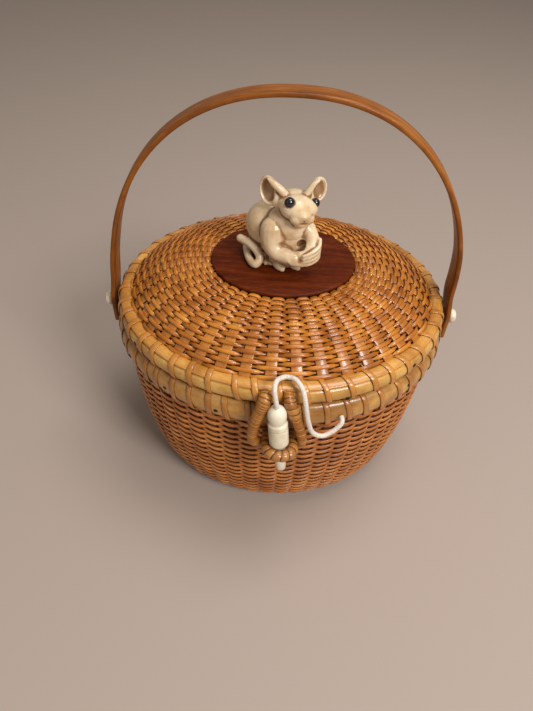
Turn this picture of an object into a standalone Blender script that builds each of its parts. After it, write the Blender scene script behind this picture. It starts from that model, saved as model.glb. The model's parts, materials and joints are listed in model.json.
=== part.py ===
"""An oval lidded basket woven over wooden staves.

A swinging bow handle, a carved mouse on the lid, and a loop, ring and peg latch on a cord.
Metres, +Z up, the front towards -Y, the origin at the middle of the base's underside.
"""

import math

import bmesh
import bpy
from mathutils import Matrix, Vector

# Oval plan: every oval of the body and rims is this much narrower than long, each side
OVAL_INSET = 0.014
STAVES = 55
LID_STAVES = 43
STAVE_SHIFT_SHARE = 0.038
SEAT_GAP = 0.0003

# Base
BASE_HALF_LENGTH = 0.054
BASE_FLANGE = 0.003
BASE_HEIGHT = 0.0072
BASE_LIFT = 0.0008

# Body wall
WALL_TOP_HALF_LENGTH = 0.098
WALL_TOP_HEIGHT = 0.1221
WALL_THICKNESS = 0.0026
WALL_RIB = 0.0009
# half-length, height and rib height, as shares of the wall's own
WALL_OUTER_SHARES = (
    (0.735, 0.0, 0.0),
    (0.800, 0.009, 0.6),
    (0.862, 0.050, 1.0),
    (0.904, 0.125, 1.0),
    (0.950, 0.300, 1.0),
    (0.988, 0.540, 1.0),
    (1.006, 0.790, 1.0),
    (1.000, 0.872, 0.0),
    (1.000, 1.0, 0.0),
)
WALL_INNER_SHARES = (
    (1.0, 1.0),
    (1.006, 0.790),
    (0.976, 0.450),
    (0.925, 0.200),
    (0.860, 0.075),
    (0.735, 0.0),
)

# Body rims
RIM_SEAT = 0.0004
BODY_RIM_HEIGHT = 0.0147
BODY_RIM_LIFT = 0.0003
BODY_RIM_BOTTOM = WALL_TOP_HEIGHT + BODY_RIM_LIFT - BODY_RIM_HEIGHT
BODY_RIM_OUTER_THICKNESS = 0.0052
BODY_RIM_HALF_LENGTH = WALL_TOP_HALF_LENGTH + RIM_SEAT + BODY_RIM_OUTER_THICKNESS
BODY_INNER_RIM_HEIGHT = 0.0147
BODY_INNER_RIM_LIFT = 0.0016
BODY_INNER_RIM_TOP = WALL_TOP_HEIGHT + BODY_INNER_RIM_LIFT
BODY_INNER_RIM_THICKNESS = 0.0044
# inwards and up, as shares of a rim's thickness and height
BODY_RIM_SHARES = ((1.0, 0.0), (0.16, 0.0), (0.02, 0.16), (0.0, 0.5), (0.12, 0.8), (0.5, 1.0), (1.0, 1.0))
INNER_RIM_SHARES = ((0.0, 0.0), (0.0, 1.0), (0.55, 1.0), (1.0, 0.75), (1.0, 0.2), (0.6, 0.0))

# Lid
LID_SHELL_INSET = 0.0021
LID_SHELL_HALF_LENGTH = WALL_TOP_HALF_LENGTH - LID_SHELL_INSET
LID_SHELL_THICKNESS = 0.0026
LID_SHELL_SHOULDER = 0.0086
LID_RIB = 0.0008
LID_RIM_LIFT = 0.0028
LID_RIM_BOTTOM = WALL_TOP_HEIGHT + LID_RIM_LIFT
LID_SHELL_BOTTOM = LID_RIM_BOTTOM + SEAT_GAP
LID_RIM_HEIGHT = 0.0106
LID_RIM_THICKNESS = 0.0056
LID_RIM_HALF_LENGTH = LID_SHELL_HALF_LENGTH + RIM_SEAT + LID_RIM_THICKNESS
LID_RIM_SHARES = ((1.0, 0.0), (0.4, 0.0), (0.07, 0.2), (0.0, 0.5), (0.12, 0.78), (0.5, 0.97), (1.0, 1.0))
LID_INNER_RIM_HALF_LENGTH = LID_SHELL_HALF_LENGTH - LID_SHELL_THICKNESS - SEAT_GAP
LID_INNER_RIM_THICKNESS = 0.0044
LID_INNER_RIM_DROP = 0.0009
LID_INNER_RIM_BOTTOM = LID_RIM_BOTTOM - LID_INNER_RIM_DROP
LID_INNER_RIM_HEIGHT = 0.0097
LID_INNER_RIM_SHARES = (
    (0.0, 0.0),
    (0.0, 0.75),
    (0.4, 1.0),
    (0.75, 1.0),
    (1.0, 0.75),
    (1.0, 0.2),
    (0.6, 0.0),
)
DOME_INSET = 0.0024
DOME_HALF_LENGTH = LID_SHELL_HALF_LENGTH - DOME_INSET
DOME_BOTTOM = LID_RIM_BOTTOM + LID_RIM_HEIGHT
DOME_RISE = 0.01935
DOME_POWER = 2.2
DOME_SHARES = (0.0, 0.09, 0.24, 0.45, 0.70, 1.0)
UNDER_SKIP_SHARES = (0.24,)
DOME_CLEAR = 0.0015

# Oval plate on the lid
PLATE_HALF_LENGTH = 0.0435
PLATE_HALF_WIDTH = 0.0354
PLATE_PROUD = 0.0030
PLATE_TOP = DOME_BOTTOM + DOME_RISE + PLATE_PROUD
PLATE_EDGE = 0.00265
PLATE_STEP = 0.0033
PLATE_STEP_HEIGHT = 0.0044
PLATE_ROUND = 0.0008

# Pivots of the handle
PIVOT_SHARE = 0.7483
PIVOT_HEIGHT = BODY_RIM_BOTTOM + PIVOT_SHARE * BODY_RIM_HEIGHT
PIN_RADIUS = 0.0012
PIN_LENGTH = 0.0152
PIN_PROUD = 0.0004
BORE_CLEAR = 0.0003
WASHER_RADIUS = 0.0042
WASHER_THICKNESS = 0.0010
KNOB_RADIUS = 0.0046
KNOB_LENGTH = 0.0051
# from the handle outwards, and radius, as shares of the knob's length and radius
KNOB_SHARES = ((0.0, 0.72), (0.22, 0.95), (0.5, 1.0), (0.78, 0.88), (0.95, 0.62), (1.0, 0.42))

# Handle: a superellipse arch on legs that lean out to the washers
HANDLE_LEG_WIDTH = 0.0122
HANDLE_TOP_WIDTH = 0.0092
HANDLE_LEG_THICKNESS = 0.0035
HANDLE_TOP_THICKNESS = 0.0030
HANDLE_SIDE_CLEAR = 0.0004
HANDLE_LID_CLEAR = 0.0010
WASHER_FACE = BODY_RIM_HALF_LENGTH + SEAT_GAP + WASHER_THICKNESS
HANDLE_HALF_WIDTH = WASHER_FACE + HANDLE_SIDE_CLEAR + HANDLE_LEG_THICKNESS
HANDLE_ARCH_HALF_WIDTH = LID_RIM_HALF_LENGTH + HANDLE_LID_CLEAR + HANDLE_LEG_THICKNESS
HANDLE_SPRING_RISE = 0.0093
HANDLE_SPRING = PIVOT_HEIGHT + HANDLE_SPRING_RISE
HANDLE_RISE = 0.1285
HANDLE_POWER = 2.2
HANDLE_FOOT_DROP = 0.0131
HANDLE_LEAN_LOW = 0.0013
HANDLE_LEAN_HEIGHT = 0.022
HANDLE_STEPS = 44
HANDLE_CHAMFER_SHARE = 0.22
# height over the foot as a share of the leg's width, and width there as a share of it
FOOT_SHARES = ((0.0, 0.30), (0.07, 0.58), (0.2, 0.83), (0.42, 0.98), (0.75, 1.0), (1.15, 1.0), (1.5, 1.0))
PIN_HEAD_OUT = HANDLE_HALF_WIDTH + SEAT_GAP + KNOB_LENGTH + PIN_PROUD

# Lid hinge loops at the back
HINGE_OUT = 0.0004
HINGE_LIFT = 0.0014
HINGE_Y = BODY_RIM_HALF_LENGTH - OVAL_INSET + HINGE_OUT
HINGE_Z = WALL_TOP_HEIGHT + HINGE_LIFT
HINGE_LOOP_X = 0.023
HINGE_LOOP_RADIUS = 0.0016
HINGE_LOOP_WRAPS = 10
HINGE_LOOP_OUT = 0.0047
HINGE_LOOP_DROP = 0.0090
HINGE_LOOP_RISE = 0.0070
HINGE_LOOP_SEAT = 0.0005

# Peg: along its axis from the top, and radius
PEG_SIDE = 0.0010
PEG_OUT = 0.0057
PEG_LIFT = 0.0037
PEG_BALL = Vector((PEG_SIDE, OVAL_INSET - BODY_RIM_HALF_LENGTH - PEG_OUT, WALL_TOP_HEIGHT + PEG_LIFT))
PEG_AXIS_SHARES = (-0.102, 0.1765, 0.979)
PEG_AXIS = Vector(PEG_AXIS_SHARES).normalized()
PEG_LENGTH = 0.045
PEG_BALL_RADIUS = 0.00515
PEG_RADIUS = 0.00545
# as shares of the peg's length and of its widest radius
PEG_SHARES = (
    (0.0, 0.10),
    (0.012, 0.42),
    (0.042, 0.74),
    (0.080, 0.91),
    (0.114, 0.945),
    (0.150, 0.91),
    (0.186, 0.80),
    (0.214, 0.74),
    (0.236, 0.78),
    (0.258, 0.94),
    (0.280, 1.0),
    (0.352, 1.0),
    (0.364, 0.95),
    (0.376, 0.95),
    (0.388, 1.0),
    (0.515, 1.0),
    (0.550, 0.94),
    (0.578, 0.78),
    (0.602, 0.58),
    (0.640, 0.535),
    (0.945, 0.520),
    (0.988, 0.36),
    (1.0, 0.12),
)

# Staple ring that the peg passes
RING_SHARE_DOWN = 0.640
RING_HALF_WIDTH = 0.0071
RING_REACH = 0.0066
RING_RADIUS = 0.0030
RING_WRAPS = 16
RING_ROOT_OUT = 0.0014
RING_ROOT_Y = OVAL_INSET - WALL_TOP_HALF_LENGTH - RING_ROOT_OUT
RING_TILT_SHARE = 0.19

# Hasp loop: a cane-wound loop that hangs from a bar in the lid's rim
HASP_RADIUS = 0.00262
HASP_CORE_RADIUS = 0.0014
HASP_WRAPS = 50
HASP_BAR_SIDE = -0.0006
HASP_BAR_DEPTH = 0.0017
HASP_BAR_LIFT = 0.0070
HASP_BAR_Y = OVAL_INSET - LID_RIM_HALF_LENGTH + HASP_BAR_DEPTH
HASP_BAR = Vector((HASP_BAR_SIDE, HASP_BAR_Y, LID_RIM_BOTTOM + HASP_BAR_LIFT))
HASP_BAR_HALF = 0.0060
HASP_LENGTH = 0.0385
HASP_TAPER = 0.0115
HASP_GROOVE_RADIUS = 0.0025
# each route point as shares of the loop's length from the middle of its bar
HASP_SHARES = (
    (0.0, 0.0, 0.0),
    (-0.165, -0.002, 0.0),
    (-0.190, -0.115, -0.020),
    (-0.205, -0.185, -0.130),
    (-0.236, -0.205, -0.400),
    (-0.270, -0.245, -0.700),
    (-0.258, -0.225, -0.870),
    (-0.140, -0.130, -0.975),
    (0.100, -0.105, -1.020),
    (0.330, -0.150, -0.985),
    (0.432, -0.225, -0.840),
    (0.425, -0.240, -0.640),
    (0.330, -0.205, -0.380),
    (0.235, -0.185, -0.130),
    (0.198, -0.115, -0.020),
    (0.172, -0.002, 0.0),
)
WRAP_DIP_SHARE = 0.88

# Cord from the body's rim over the lid's rim to the peg
CORD_RADIUS = 0.0014
CORD_STEP = 0.0068
CORD_START = Vector((0.0366, -0.0850, 0.1150))
CORD_SPAN = 0.040
# each route point as shares of the span from the cord's start
CORD_SHARES = (
    (0.0, 0.0, 0.0),
    (0.010, -0.060, -0.015),
    (-0.012, -0.102, -0.060),
    (-0.110, -0.150, -0.150),
    (-0.255, -0.205, -0.195),
    (-0.395, -0.235, -0.085),
    (-0.475, -0.240, 0.165),
    (-0.530, -0.185, 0.460),
    (-0.580, -0.085, 0.615),
    (-0.668, 0.035, 0.660),
    (-0.760, 0.095, 0.645),
    (-0.850, 0.085, 0.640),
    (-0.925, -0.060, 0.720),
    (-0.942, -0.180, 0.680),
    (-0.915, -0.240, 0.520),
    (-0.898, -0.255, 0.410),
)

# Carved mouse
MOUSE_HEIGHT = 0.050
MOUSE_VOXEL = 0.0010
MOUSE_KEEP_SHARE = 0.085
# centre x, y, z and half sizes x, y, z as shares of the mouse's height, then turns about z and y in
# quarter turns
MOUSE_SHARES = (
    (-0.160, 0.150, 0.240, 0.270, 0.260, 0.280, 0.0, 0.0),
    (-0.168, 0.090, 0.416, 0.292, 0.250, 0.284, 0.0, 0.0),
    (0.020, -0.070, 0.410, 0.292, 0.204, 0.320, 0.0, 0.0),
    (0.030, -0.090, 0.550, 0.250, 0.196, 0.190, 0.0, 0.0),
    (-0.092, -0.132, 0.450, 0.176, 0.164, 0.220, 0.0, 0.0),
    (0.050, -0.172, 0.500, 0.180, 0.108, 0.136, 0.0, 0.0),
    (0.240, -0.110, 0.450, 0.100, 0.124, 0.160, 0.0, 0.0),
    (0.010, -0.140, 0.100, 0.180, 0.120, 0.120, 0.0, 0.0),
    (0.090, -0.094, 0.813, 0.204, 0.188, 0.132, 0.17, 0.06),
    (0.114, -0.185, 0.805, 0.192, 0.168, 0.138, 0.17, 0.06),
    (0.134, -0.266, 0.789, 0.148, 0.128, 0.112, 0.17, 0.06),
    (0.150, -0.324, 0.793, 0.100, 0.080, 0.084, 0.17, 0.06),
    (0.077, -0.319, 0.763, 0.082, 0.080, 0.078, 0.17, 0.06),
    (0.204, -0.285, 0.751, 0.082, 0.080, 0.078, 0.17, 0.06),
    (0.129, -0.280, 0.689, 0.092, 0.080, 0.056, 0.17, 0.06),
    (0.236, -0.231, 0.868, 0.056, 0.064, 0.068, 0.17, 0.06),
    (-0.200, -0.052, 0.908, 0.118, 0.056, 0.166, -0.31, -0.20),
    (-0.105, -0.110, 0.839, 0.076, 0.056, 0.088, -0.31, -0.20),
    (0.324, -0.030, 0.936, 0.096, 0.052, 0.148, 0.33, 0.13),
    (0.256, -0.076, 0.859, 0.064, 0.052, 0.080, 0.33, 0.13),
)
# routes and radii of tail, ear edges, arms, clasped hands and feet, as shares of the mouse's height
MOUSE_LIMB_SHARES = (
    (
        (-0.190, 0.240, 0.080, 0.072),
        (-0.350, 0.290, 0.064, 0.060),
        (-0.446, 0.164, 0.050, 0.050),
        (-0.440, 0.034, 0.048, 0.046),
        (-0.398, -0.130, 0.048, 0.046),
        (-0.328, -0.238, 0.052, 0.046),
        (-0.278, -0.208, 0.096, 0.047),
        (-0.284, -0.172, 0.144, 0.048),
        (-0.332, -0.124, 0.192, 0.048),
        (-0.418, -0.038, 0.216, 0.050),
        (-0.520, 0.048, 0.212, 0.050),
    ),
    (
        (-0.204, -0.072, 1.048, 0.030),
        (-0.152, -0.108, 1.024, 0.040),
        (-0.084, -0.136, 0.984, 0.042),
        (-0.032, -0.132, 0.928, 0.044),
    ),
    (
        (0.212, -0.100, 0.920, 0.040),
        (0.244, -0.096, 0.980, 0.038),
        (0.280, -0.084, 1.032, 0.036),
        (0.316, -0.068, 1.068, 0.026),
    ),
    (
        (-0.130, -0.170, 0.500, 0.148),
        (-0.132, -0.212, 0.360, 0.138),
        (-0.068, -0.270, 0.276, 0.116),
        (0.040, -0.336, 0.260, 0.092),
        (0.120, -0.364, 0.252, 0.080),
    ),
    (
        (0.260, -0.120, 0.500, 0.088),
        (0.304, -0.190, 0.416, 0.084),
        (0.316, -0.244, 0.356, 0.092),
        (0.288, -0.296, 0.300, 0.104),
    ),
    (
        (0.360, -0.300, 0.330, 0.056),
        (0.340, -0.350, 0.290, 0.074),
        (0.270, -0.372, 0.240, 0.090),
        (0.190, -0.384, 0.226, 0.080),
    ),
    (
        (-0.072, -0.160, 0.056, 0.068),
        (-0.048, -0.228, 0.048, 0.060),
        (-0.008, -0.268, 0.032, 0.038),
    ),
    (
        (0.112, -0.160, 0.056, 0.068),
        (0.140, -0.208, 0.044, 0.056),
        (0.172, -0.232, 0.032, 0.038),
    ),
    (
        (-0.202, -0.040, 0.092, 0.056),
        (-0.196, -0.116, 0.076, 0.050),
        (-0.180, -0.172, 0.042, 0.042),
    ),
)
MOUSE_LIMB_STEPS = 40
# hollows of the ears and between the arms, as the shares and turns above
MOUSE_HOLLOW_SHARES = (
    (-0.228, -0.093, 0.923, 0.096, 0.068, 0.144, -0.31, -0.20),
    (0.355, -0.066, 0.948, 0.076, 0.060, 0.124, 0.33, 0.13),
    (0.188, -0.292, 0.380, 0.072, 0.084, 0.056, 0.0, 0.0),
)
EYE_RADIUS = 0.0026
# centres of the eyes, as shares of the mouse's height
EYE_SHARES = ((0.015, -0.282, 0.918), (0.283, -0.189, 0.887))
DOWEL_RADIUS = 0.0020
DOWEL_LENGTH = 0.0130
DOWEL_SEAT = 0.0007
DOWEL_BOTTOM = PLATE_TOP - PLATE_EDGE - PLATE_STEP_HEIGHT + DOWEL_SEAT

COLOURS = {
    "base_wood": (0.30, 0.15, 0.07, 0.45),
    "woven_cane": (0.62, 0.31, 0.11, 0.42),
    "rim_cane": (0.80, 0.58, 0.28, 0.40),
    "lid_cane": (0.74, 0.42, 0.16, 0.38),
    "plate_wood": (0.20, 0.06, 0.035, 0.32),
    "handle_wood": (0.34, 0.19, 0.10, 0.38),
    "ivory": (0.86, 0.76, 0.58, 0.32),
    "eye_gloss": (0.012, 0.012, 0.014, 0.10),
    "pin_metal": (0.16, 0.13, 0.10, 0.40),
    "wrapped_cane": (0.76, 0.52, 0.25, 0.42),
    "cord_cotton": (0.85, 0.80, 0.70, 0.85),
}


def clear_scene():
    """Empties the start scene."""
    for item in list(bpy.data.objects):
        bpy.data.objects.remove(item, do_unlink=True)


def make_materials():
    """One Principled material for each colour, by name."""
    made = {}
    for name, (red, green, blue, rough) in COLOURS.items():
        material = bpy.data.materials.new(name)
        material.use_nodes = True
        shader = material.node_tree.nodes["Principled BSDF"]
        shader.inputs["Base Color"].default_value = (red, green, blue, 1.0)
        shader.inputs["Roughness"].default_value = rough
        made[name] = material
    made["pin_metal"].node_tree.nodes["Principled BSDF"].inputs["Metallic"].default_value = 1.0
    return made


def add_object(name, data, slot, parent=None):
    """Links a named object with its own copy of a material, riding on a parent that is only moved."""
    item = bpy.data.objects.new(name, data)
    bpy.context.scene.collection.objects.link(item)
    material = MATERIALS[slot].copy()
    material.name = name + "_" + slot
    data.materials.append(material)
    if parent is not None:
        item.parent = parent
        item.matrix_parent_inverse = Matrix.Translation(-PIVOTS[parent.name])
    return item


def add_pivot(name, place, parent=None):
    """An empty on a joint's axis."""
    empty = bpy.data.objects.new(name, None)
    empty.location = place
    empty.empty_display_size = SEAT_GAP
    bpy.context.scene.collection.objects.link(empty)
    PIVOTS[name] = Vector(place)
    if parent is not None:
        empty.parent = parent
        empty.matrix_parent_inverse = Matrix.Translation(-PIVOTS[parent.name])
    return empty


def as_mesh(name, shape):
    """Turns a bmesh into mesh data with its faces out."""
    bmesh.ops.recalc_face_normals(shape, faces=shape.faces)
    data = bpy.data.meshes.new(name)
    shape.to_mesh(data)
    shape.free()
    return data


def stave_turn(step, steps):
    """Angle on the oval for a step of near even spacing round its edge."""
    even = 2 * math.pi * step / steps
    return even + STAVE_SHIFT_SHARE * math.sin(2 * even)


def with_width(profile):
    """Adds each oval's half-width to points of half-length and height."""
    return [(length, length - OVAL_INSET, height) for length, height in profile]


def oval_body(name, profile, columns, slot, parent=None, ribs=None, capped=False):
    """A body through ovals of half-length, half-width and height.

    A closed section makes a ring and a capped one a disc. Ribs lift every other column.
    """
    shape = bmesh.new()
    rows = []
    for index, (length, width, height) in enumerate(profile):
        row = []
        for column in range(columns):
            turn = stave_turn(column, columns)
            lift = ribs[index] if ribs and column % 2 == 0 else 0.0
            x = (length + lift) * math.cos(turn)
            y = (width + lift) * math.sin(turn)
            row.append(shape.verts.new((x, y, height)))
        rows.append(row)
    joined = list(zip(rows, rows[1:]))
    if capped:
        shape.faces.new(rows[0])
        shape.faces.new(rows[-1])
    else:
        joined.append((rows[-1], rows[0]))
    for low, high in joined:
        for column in range(columns):
            after = (column + 1) % columns
            shape.faces.new((low[column], low[after], high[after], high[column]))
    return add_object(name, as_mesh(name, shape), slot, parent)


def rim_profile(half_length, thickness, bottom, height, shares):
    """A rim's section from its outermost half-length inwards."""
    return with_width([(half_length - inward * thickness, bottom + up * height) for inward, up in shares])


def turned_body(name, profile, place, axis, slot, parent=None, sides=24, hollow=False):
    """A body turned about an axis through a place, from points of distance along it and radius."""
    shape = bmesh.new()
    to_axis = axis.to_track_quat("Z", "Y").to_matrix()
    rows = []
    for along, radius in profile:
        row = []
        for side in range(sides):
            turn = 2 * math.pi * side / sides
            spot = Vector((radius * math.cos(turn), radius * math.sin(turn), along))
            row.append(shape.verts.new(place + to_axis @ spot))
        rows.append(row)
    joined = list(zip(rows, rows[1:]))
    if hollow:
        joined.append((rows[-1], rows[0]))
    else:
        shape.faces.new(rows[0])
        shape.faces.new(rows[-1])
    for low, high in joined:
        for side in range(sides):
            after = (side + 1) % sides
            shape.faces.new((low[side], low[after], high[after], high[side]))
    return add_object(name, as_mesh(name, shape), slot, parent)


def smooth_route(route, closed=False, fineness=24):
    """A smooth line through route points, finely sampled."""
    count = len(route)
    spans = count if closed else count - 1
    line = []
    for span in range(spans):
        if closed:
            near = [route[(span + offset) % count] for offset in (-1, 0, 1, 2)]
        else:
            near = [route[min(max(span + offset, 0), count - 1)] for offset in (-1, 0, 1, 2)]
        for step in range(fineness):
            part = step / fineness
            blend = (
                -0.5 * part ** 3 + part ** 2 - 0.5 * part,
                1.5 * part ** 3 - 2.5 * part ** 2 + 1.0,
                -1.5 * part ** 3 + 2.0 * part ** 2 + 0.5 * part,
                0.5 * part ** 3 - 0.5 * part ** 2,
            )
            line.append(sum((spot * weight for spot, weight in zip(near, blend)), Vector((0.0, 0.0, 0.0))))
    line.append(route[0].copy() if closed else route[-1].copy())
    return line


def even_points(line, count):
    """Points at even distances along a line, its two ends among them."""
    lengths = [0.0]
    for before, after in zip(line, line[1:]):
        lengths.append(lengths[-1] + (after - before).length)
    points = []
    place = 0
    for index in range(count):
        wanted = lengths[-1] * index / (count - 1)
        while place < len(line) - 2 and lengths[place + 1] < wanted:
            place += 1
        part = (wanted - lengths[place]) / max(lengths[place + 1] - lengths[place], lengths[-1] * 1e-9)
        points.append(line[place].lerp(line[place + 1], min(max(part, 0.0), 1.0)))
    return points


def tube_body(name, points, radii, slot, parent=None, closed=False):
    """A round tube along points, each with its own radius."""
    data = bpy.data.curves.new(name, "CURVE")
    data.dimensions = "3D"
    data.bevel_depth = max(radii)
    data.bevel_resolution = 2
    data.use_fill_caps = not closed
    spline = data.splines.new("POLY")
    spline.points.add(len(points) - 1)
    spline.use_cyclic_u = closed
    for target, spot, radius in zip(spline.points, points, radii):
        target.co = (spot.x, spot.y, spot.z, 1.0)
        target.radius = radius / max(radii)
    return add_object(name, data, slot, parent)


def wound_tube(name, route, radius, wraps, slot, parent=None, closed=False, core=None):
    """A tube with the ribs of a cane wrapping: two points of unlike radius for each wrap."""
    count = 2 * wraps
    line = smooth_route(route, closed)
    points = even_points(line, count + 1 if closed else count)[:count]
    radii = [radius if index % 2 else radius * WRAP_DIP_SHARE for index in range(count)]
    if core is not None:
        radii = [core(spot, wide) for spot, wide in zip(points, radii)]
    return tube_body(name, points, radii, slot, parent, closed)


def add_cutter(name, shape):
    """A hidden mesh for a Boolean."""
    cutter = bpy.data.objects.new(name, as_mesh(name, shape))
    cutter.hide_render = True
    cutter.display_type = "WIRE"
    bpy.context.scene.collection.objects.link(cutter)
    return cutter


def cut(item, cutter):
    """Takes a cutter out of a body."""
    modifier = item.modifiers.new("cut", "BOOLEAN")
    modifier.operation = "DIFFERENCE"
    modifier.solver = "EXACT"
    modifier.object = cutter


def add_ball(shape, centre, sizes, turn=0.0, lean=0.0, detail=2):
    """Adds an ellipsoid, turned about z after leaning about y, to a bmesh."""
    scaled = Matrix.Diagonal((sizes[0], sizes[1], sizes[2], 1.0))
    turned = Matrix.Rotation(turn * math.pi / 2, 4, "Z") @ Matrix.Rotation(lean * math.pi / 2, 4, "Y")
    place = Matrix.Translation(centre) @ turned @ scaled
    bmesh.ops.create_icosphere(shape, subdivisions=detail, radius=1.0, matrix=place)


def add_rod(shape, centre, axis, radius, length, sides=20):
    """Adds a closed cylinder about a middle point to a bmesh."""
    turn = axis.to_track_quat("Z", "Y").to_matrix().to_4x4()
    bmesh.ops.create_cone(
        shape,
        cap_ends=True,
        segments=sides,
        radius1=radius,
        radius2=radius,
        depth=length,
        matrix=Matrix.Translation(centre) @ turn,
    )


def build_base():
    """The turned oval base that holds the lower ends of the staves."""
    inner_floor = BASE_LIFT + WALL_THICKNESS + SEAT_GAP
    flange = BASE_HALF_LENGTH + BASE_FLANGE
    profile = (
        (BASE_HALF_LENGTH, 0.0),
        (BASE_HALF_LENGTH, inner_floor),
        (flange, inner_floor),
        (flange, BASE_HEIGHT - SEAT_GAP),
        (flange - SEAT_GAP, BASE_HEIGHT),
    )
    oval_body("base_plate", with_width(profile), STAVES, "base_wood", capped=True)


def build_wall():
    """The woven wall: stave ribs outside, smooth inside, open over the base."""
    rise = WALL_TOP_HEIGHT - BASE_LIFT
    hole = BASE_HALF_LENGTH + SEAT_GAP
    inner_top = WALL_TOP_HALF_LENGTH - WALL_THICKNESS
    floor = BASE_LIFT + WALL_THICKNESS
    profile = [(hole, BASE_LIFT)]
    ribs = [0.0]
    for length, height, rib in WALL_OUTER_SHARES:
        profile.append((length * WALL_TOP_HALF_LENGTH, BASE_LIFT + height * rise))
        ribs.append(rib * WALL_RIB)
    for length, height in WALL_INNER_SHARES:
        profile.append((length * inner_top, floor + height * (WALL_TOP_HEIGHT - floor)))
        ribs.append(0.0)
    profile.append((hole, floor))
    ribs.append(0.0)
    oval_body("basket_wall", with_width(profile), 2 * STAVES, "woven_cane", ribs=ribs)


def build_body_rims():
    """Half-round hoops outside and inside the wall's top; the outer one is bored for the handle's pins."""
    outer = rim_profile(
        BODY_RIM_HALF_LENGTH,
        BODY_RIM_OUTER_THICKNESS,
        BODY_RIM_BOTTOM,
        BODY_RIM_HEIGHT,
        BODY_RIM_SHARES,
    )
    rim = oval_body("body_rim_outer", outer, STAVES, "rim_cane")
    bores = bmesh.new()
    for side in (-1, 1):
        middle = Vector((side * BODY_RIM_HALF_LENGTH, 0.0, PIVOT_HEIGHT))
        reach = 4 * BODY_RIM_OUTER_THICKNESS
        add_rod(bores, middle, Vector((1.0, 0.0, 0.0)), PIN_RADIUS + BORE_CLEAR, reach)
    cut(rim, add_cutter("rim_bore_cutter", bores))
    inner = rim_profile(
        WALL_TOP_HALF_LENGTH - WALL_THICKNESS - SEAT_GAP,
        BODY_INNER_RIM_THICKNESS,
        BODY_INNER_RIM_TOP - BODY_INNER_RIM_HEIGHT,
        BODY_INNER_RIM_HEIGHT,
        INNER_RIM_SHARES,
    )
    oval_body("body_rim_inner", inner, STAVES, "rim_cane")


def dome_height(share):
    """Height of the lid's outer face, from the rim at 0 to the plate at 1."""
    return DOME_BOTTOM + DOME_RISE * (1 - (1 - share) ** DOME_POWER)


def build_lid(hinge):
    """The domed woven lid with its two rims and its oval plate."""
    hole_length = PLATE_HALF_LENGTH - PLATE_STEP + SEAT_GAP
    hole_width = PLATE_HALF_WIDTH - PLATE_STEP + SEAT_GAP
    edge_width = LID_SHELL_HALF_LENGTH - OVAL_INSET
    dome_width = DOME_HALF_LENGTH - OVAL_INSET
    profile = [
        (LID_SHELL_HALF_LENGTH, edge_width, LID_SHELL_BOTTOM),
        (LID_SHELL_HALF_LENGTH, edge_width, LID_SHELL_BOTTOM + LID_SHELL_SHOULDER),
    ]
    ribs = [0.0, 0.0]
    under = []
    for share in DOME_SHARES:
        length = DOME_HALF_LENGTH + (hole_length - DOME_HALF_LENGTH) * share
        width = dome_width + (hole_width - dome_width) * share
        profile.append((length, width, dome_height(share)))
        ribs.append(LID_RIB * min(1.0, 9 * share, 5 * (1 - share)))
        inward = DOME_CLEAR * (1 - share)
        if share not in UNDER_SKIP_SHARES:
            under.append((length - inward, width - inward, dome_height(share) - LID_SHELL_THICKNESS))
    inner = LID_SHELL_HALF_LENGTH - LID_SHELL_THICKNESS
    inner_width = inner - OVAL_INSET
    under[0] = (inner, inner_width, DOME_BOTTOM - LID_SHELL_THICKNESS)
    profile += reversed(under)
    profile.append((inner, inner_width, LID_SHELL_BOTTOM))
    ribs += [0.0] * (len(under) + 1)
    oval_body("lid_shell", profile, 2 * LID_STAVES, "lid_cane", hinge, ribs=ribs)
    outer = rim_profile(
        LID_RIM_HALF_LENGTH,
        LID_RIM_THICKNESS,
        LID_RIM_BOTTOM,
        LID_RIM_HEIGHT,
        LID_RIM_SHARES,
    )
    rim = oval_body("lid_rim_outer", outer, STAVES, "rim_cane", hinge)
    groove = bmesh.new()
    add_rod(
        groove,
        HASP_BAR,
        Vector((1.0, 0.0, 0.0)),
        HASP_GROOVE_RADIUS,
        2 * HASP_BAR_HALF + 8 * HASP_CORE_RADIUS,
    )
    cut(rim, add_cutter("hasp_groove_cutter", groove))
    inner_rim = rim_profile(
        LID_INNER_RIM_HALF_LENGTH,
        LID_INNER_RIM_THICKNESS,
        LID_INNER_RIM_BOTTOM,
        LID_INNER_RIM_HEIGHT,
        LID_INNER_RIM_SHARES,
    )
    oval_body("lid_rim_inner", inner_rim, STAVES, "rim_cane", hinge)


def build_plate(hinge):
    """The wooden oval let into the top of the lid, bored for the mouse's dowel."""
    length = PLATE_HALF_LENGTH
    width = PLATE_HALF_WIDTH
    under = PLATE_TOP - PLATE_EDGE
    bottom = under - PLATE_STEP_HEIGHT
    profile = (
        (length - PLATE_STEP, width - PLATE_STEP, bottom),
        (length - PLATE_STEP, width - PLATE_STEP, under),
        (length - PLATE_ROUND, width - PLATE_ROUND, under),
        (length, width, under + PLATE_ROUND),
        (length, width, PLATE_TOP - PLATE_ROUND),
        (length - PLATE_ROUND, width - PLATE_ROUND, PLATE_TOP),
    )
    plate = oval_body("lid_plate", profile, STAVES, "plate_wood", hinge, capped=True)
    bore = bmesh.new()
    add_rod(bore, dowel_middle(), Vector((0.0, 0.0, 1.0)), DOWEL_RADIUS + BORE_CLEAR, 2 * DOWEL_LENGTH)
    cut(plate, add_cutter("plate_bore_cutter", bore))


def dowel_middle():
    """Middle of the dowel under the mouse."""
    return Vector((0.0, 0.0, DOWEL_BOTTOM + DOWEL_LENGTH / 2))


def mouse_spot(shares):
    """A place on the mouse from shares of its height."""
    x, y, z = shares[:3]
    return Vector((x * MOUSE_HEIGHT, y * MOUSE_HEIGHT, PLATE_TOP + SEAT_GAP + z * MOUSE_HEIGHT))


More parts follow.
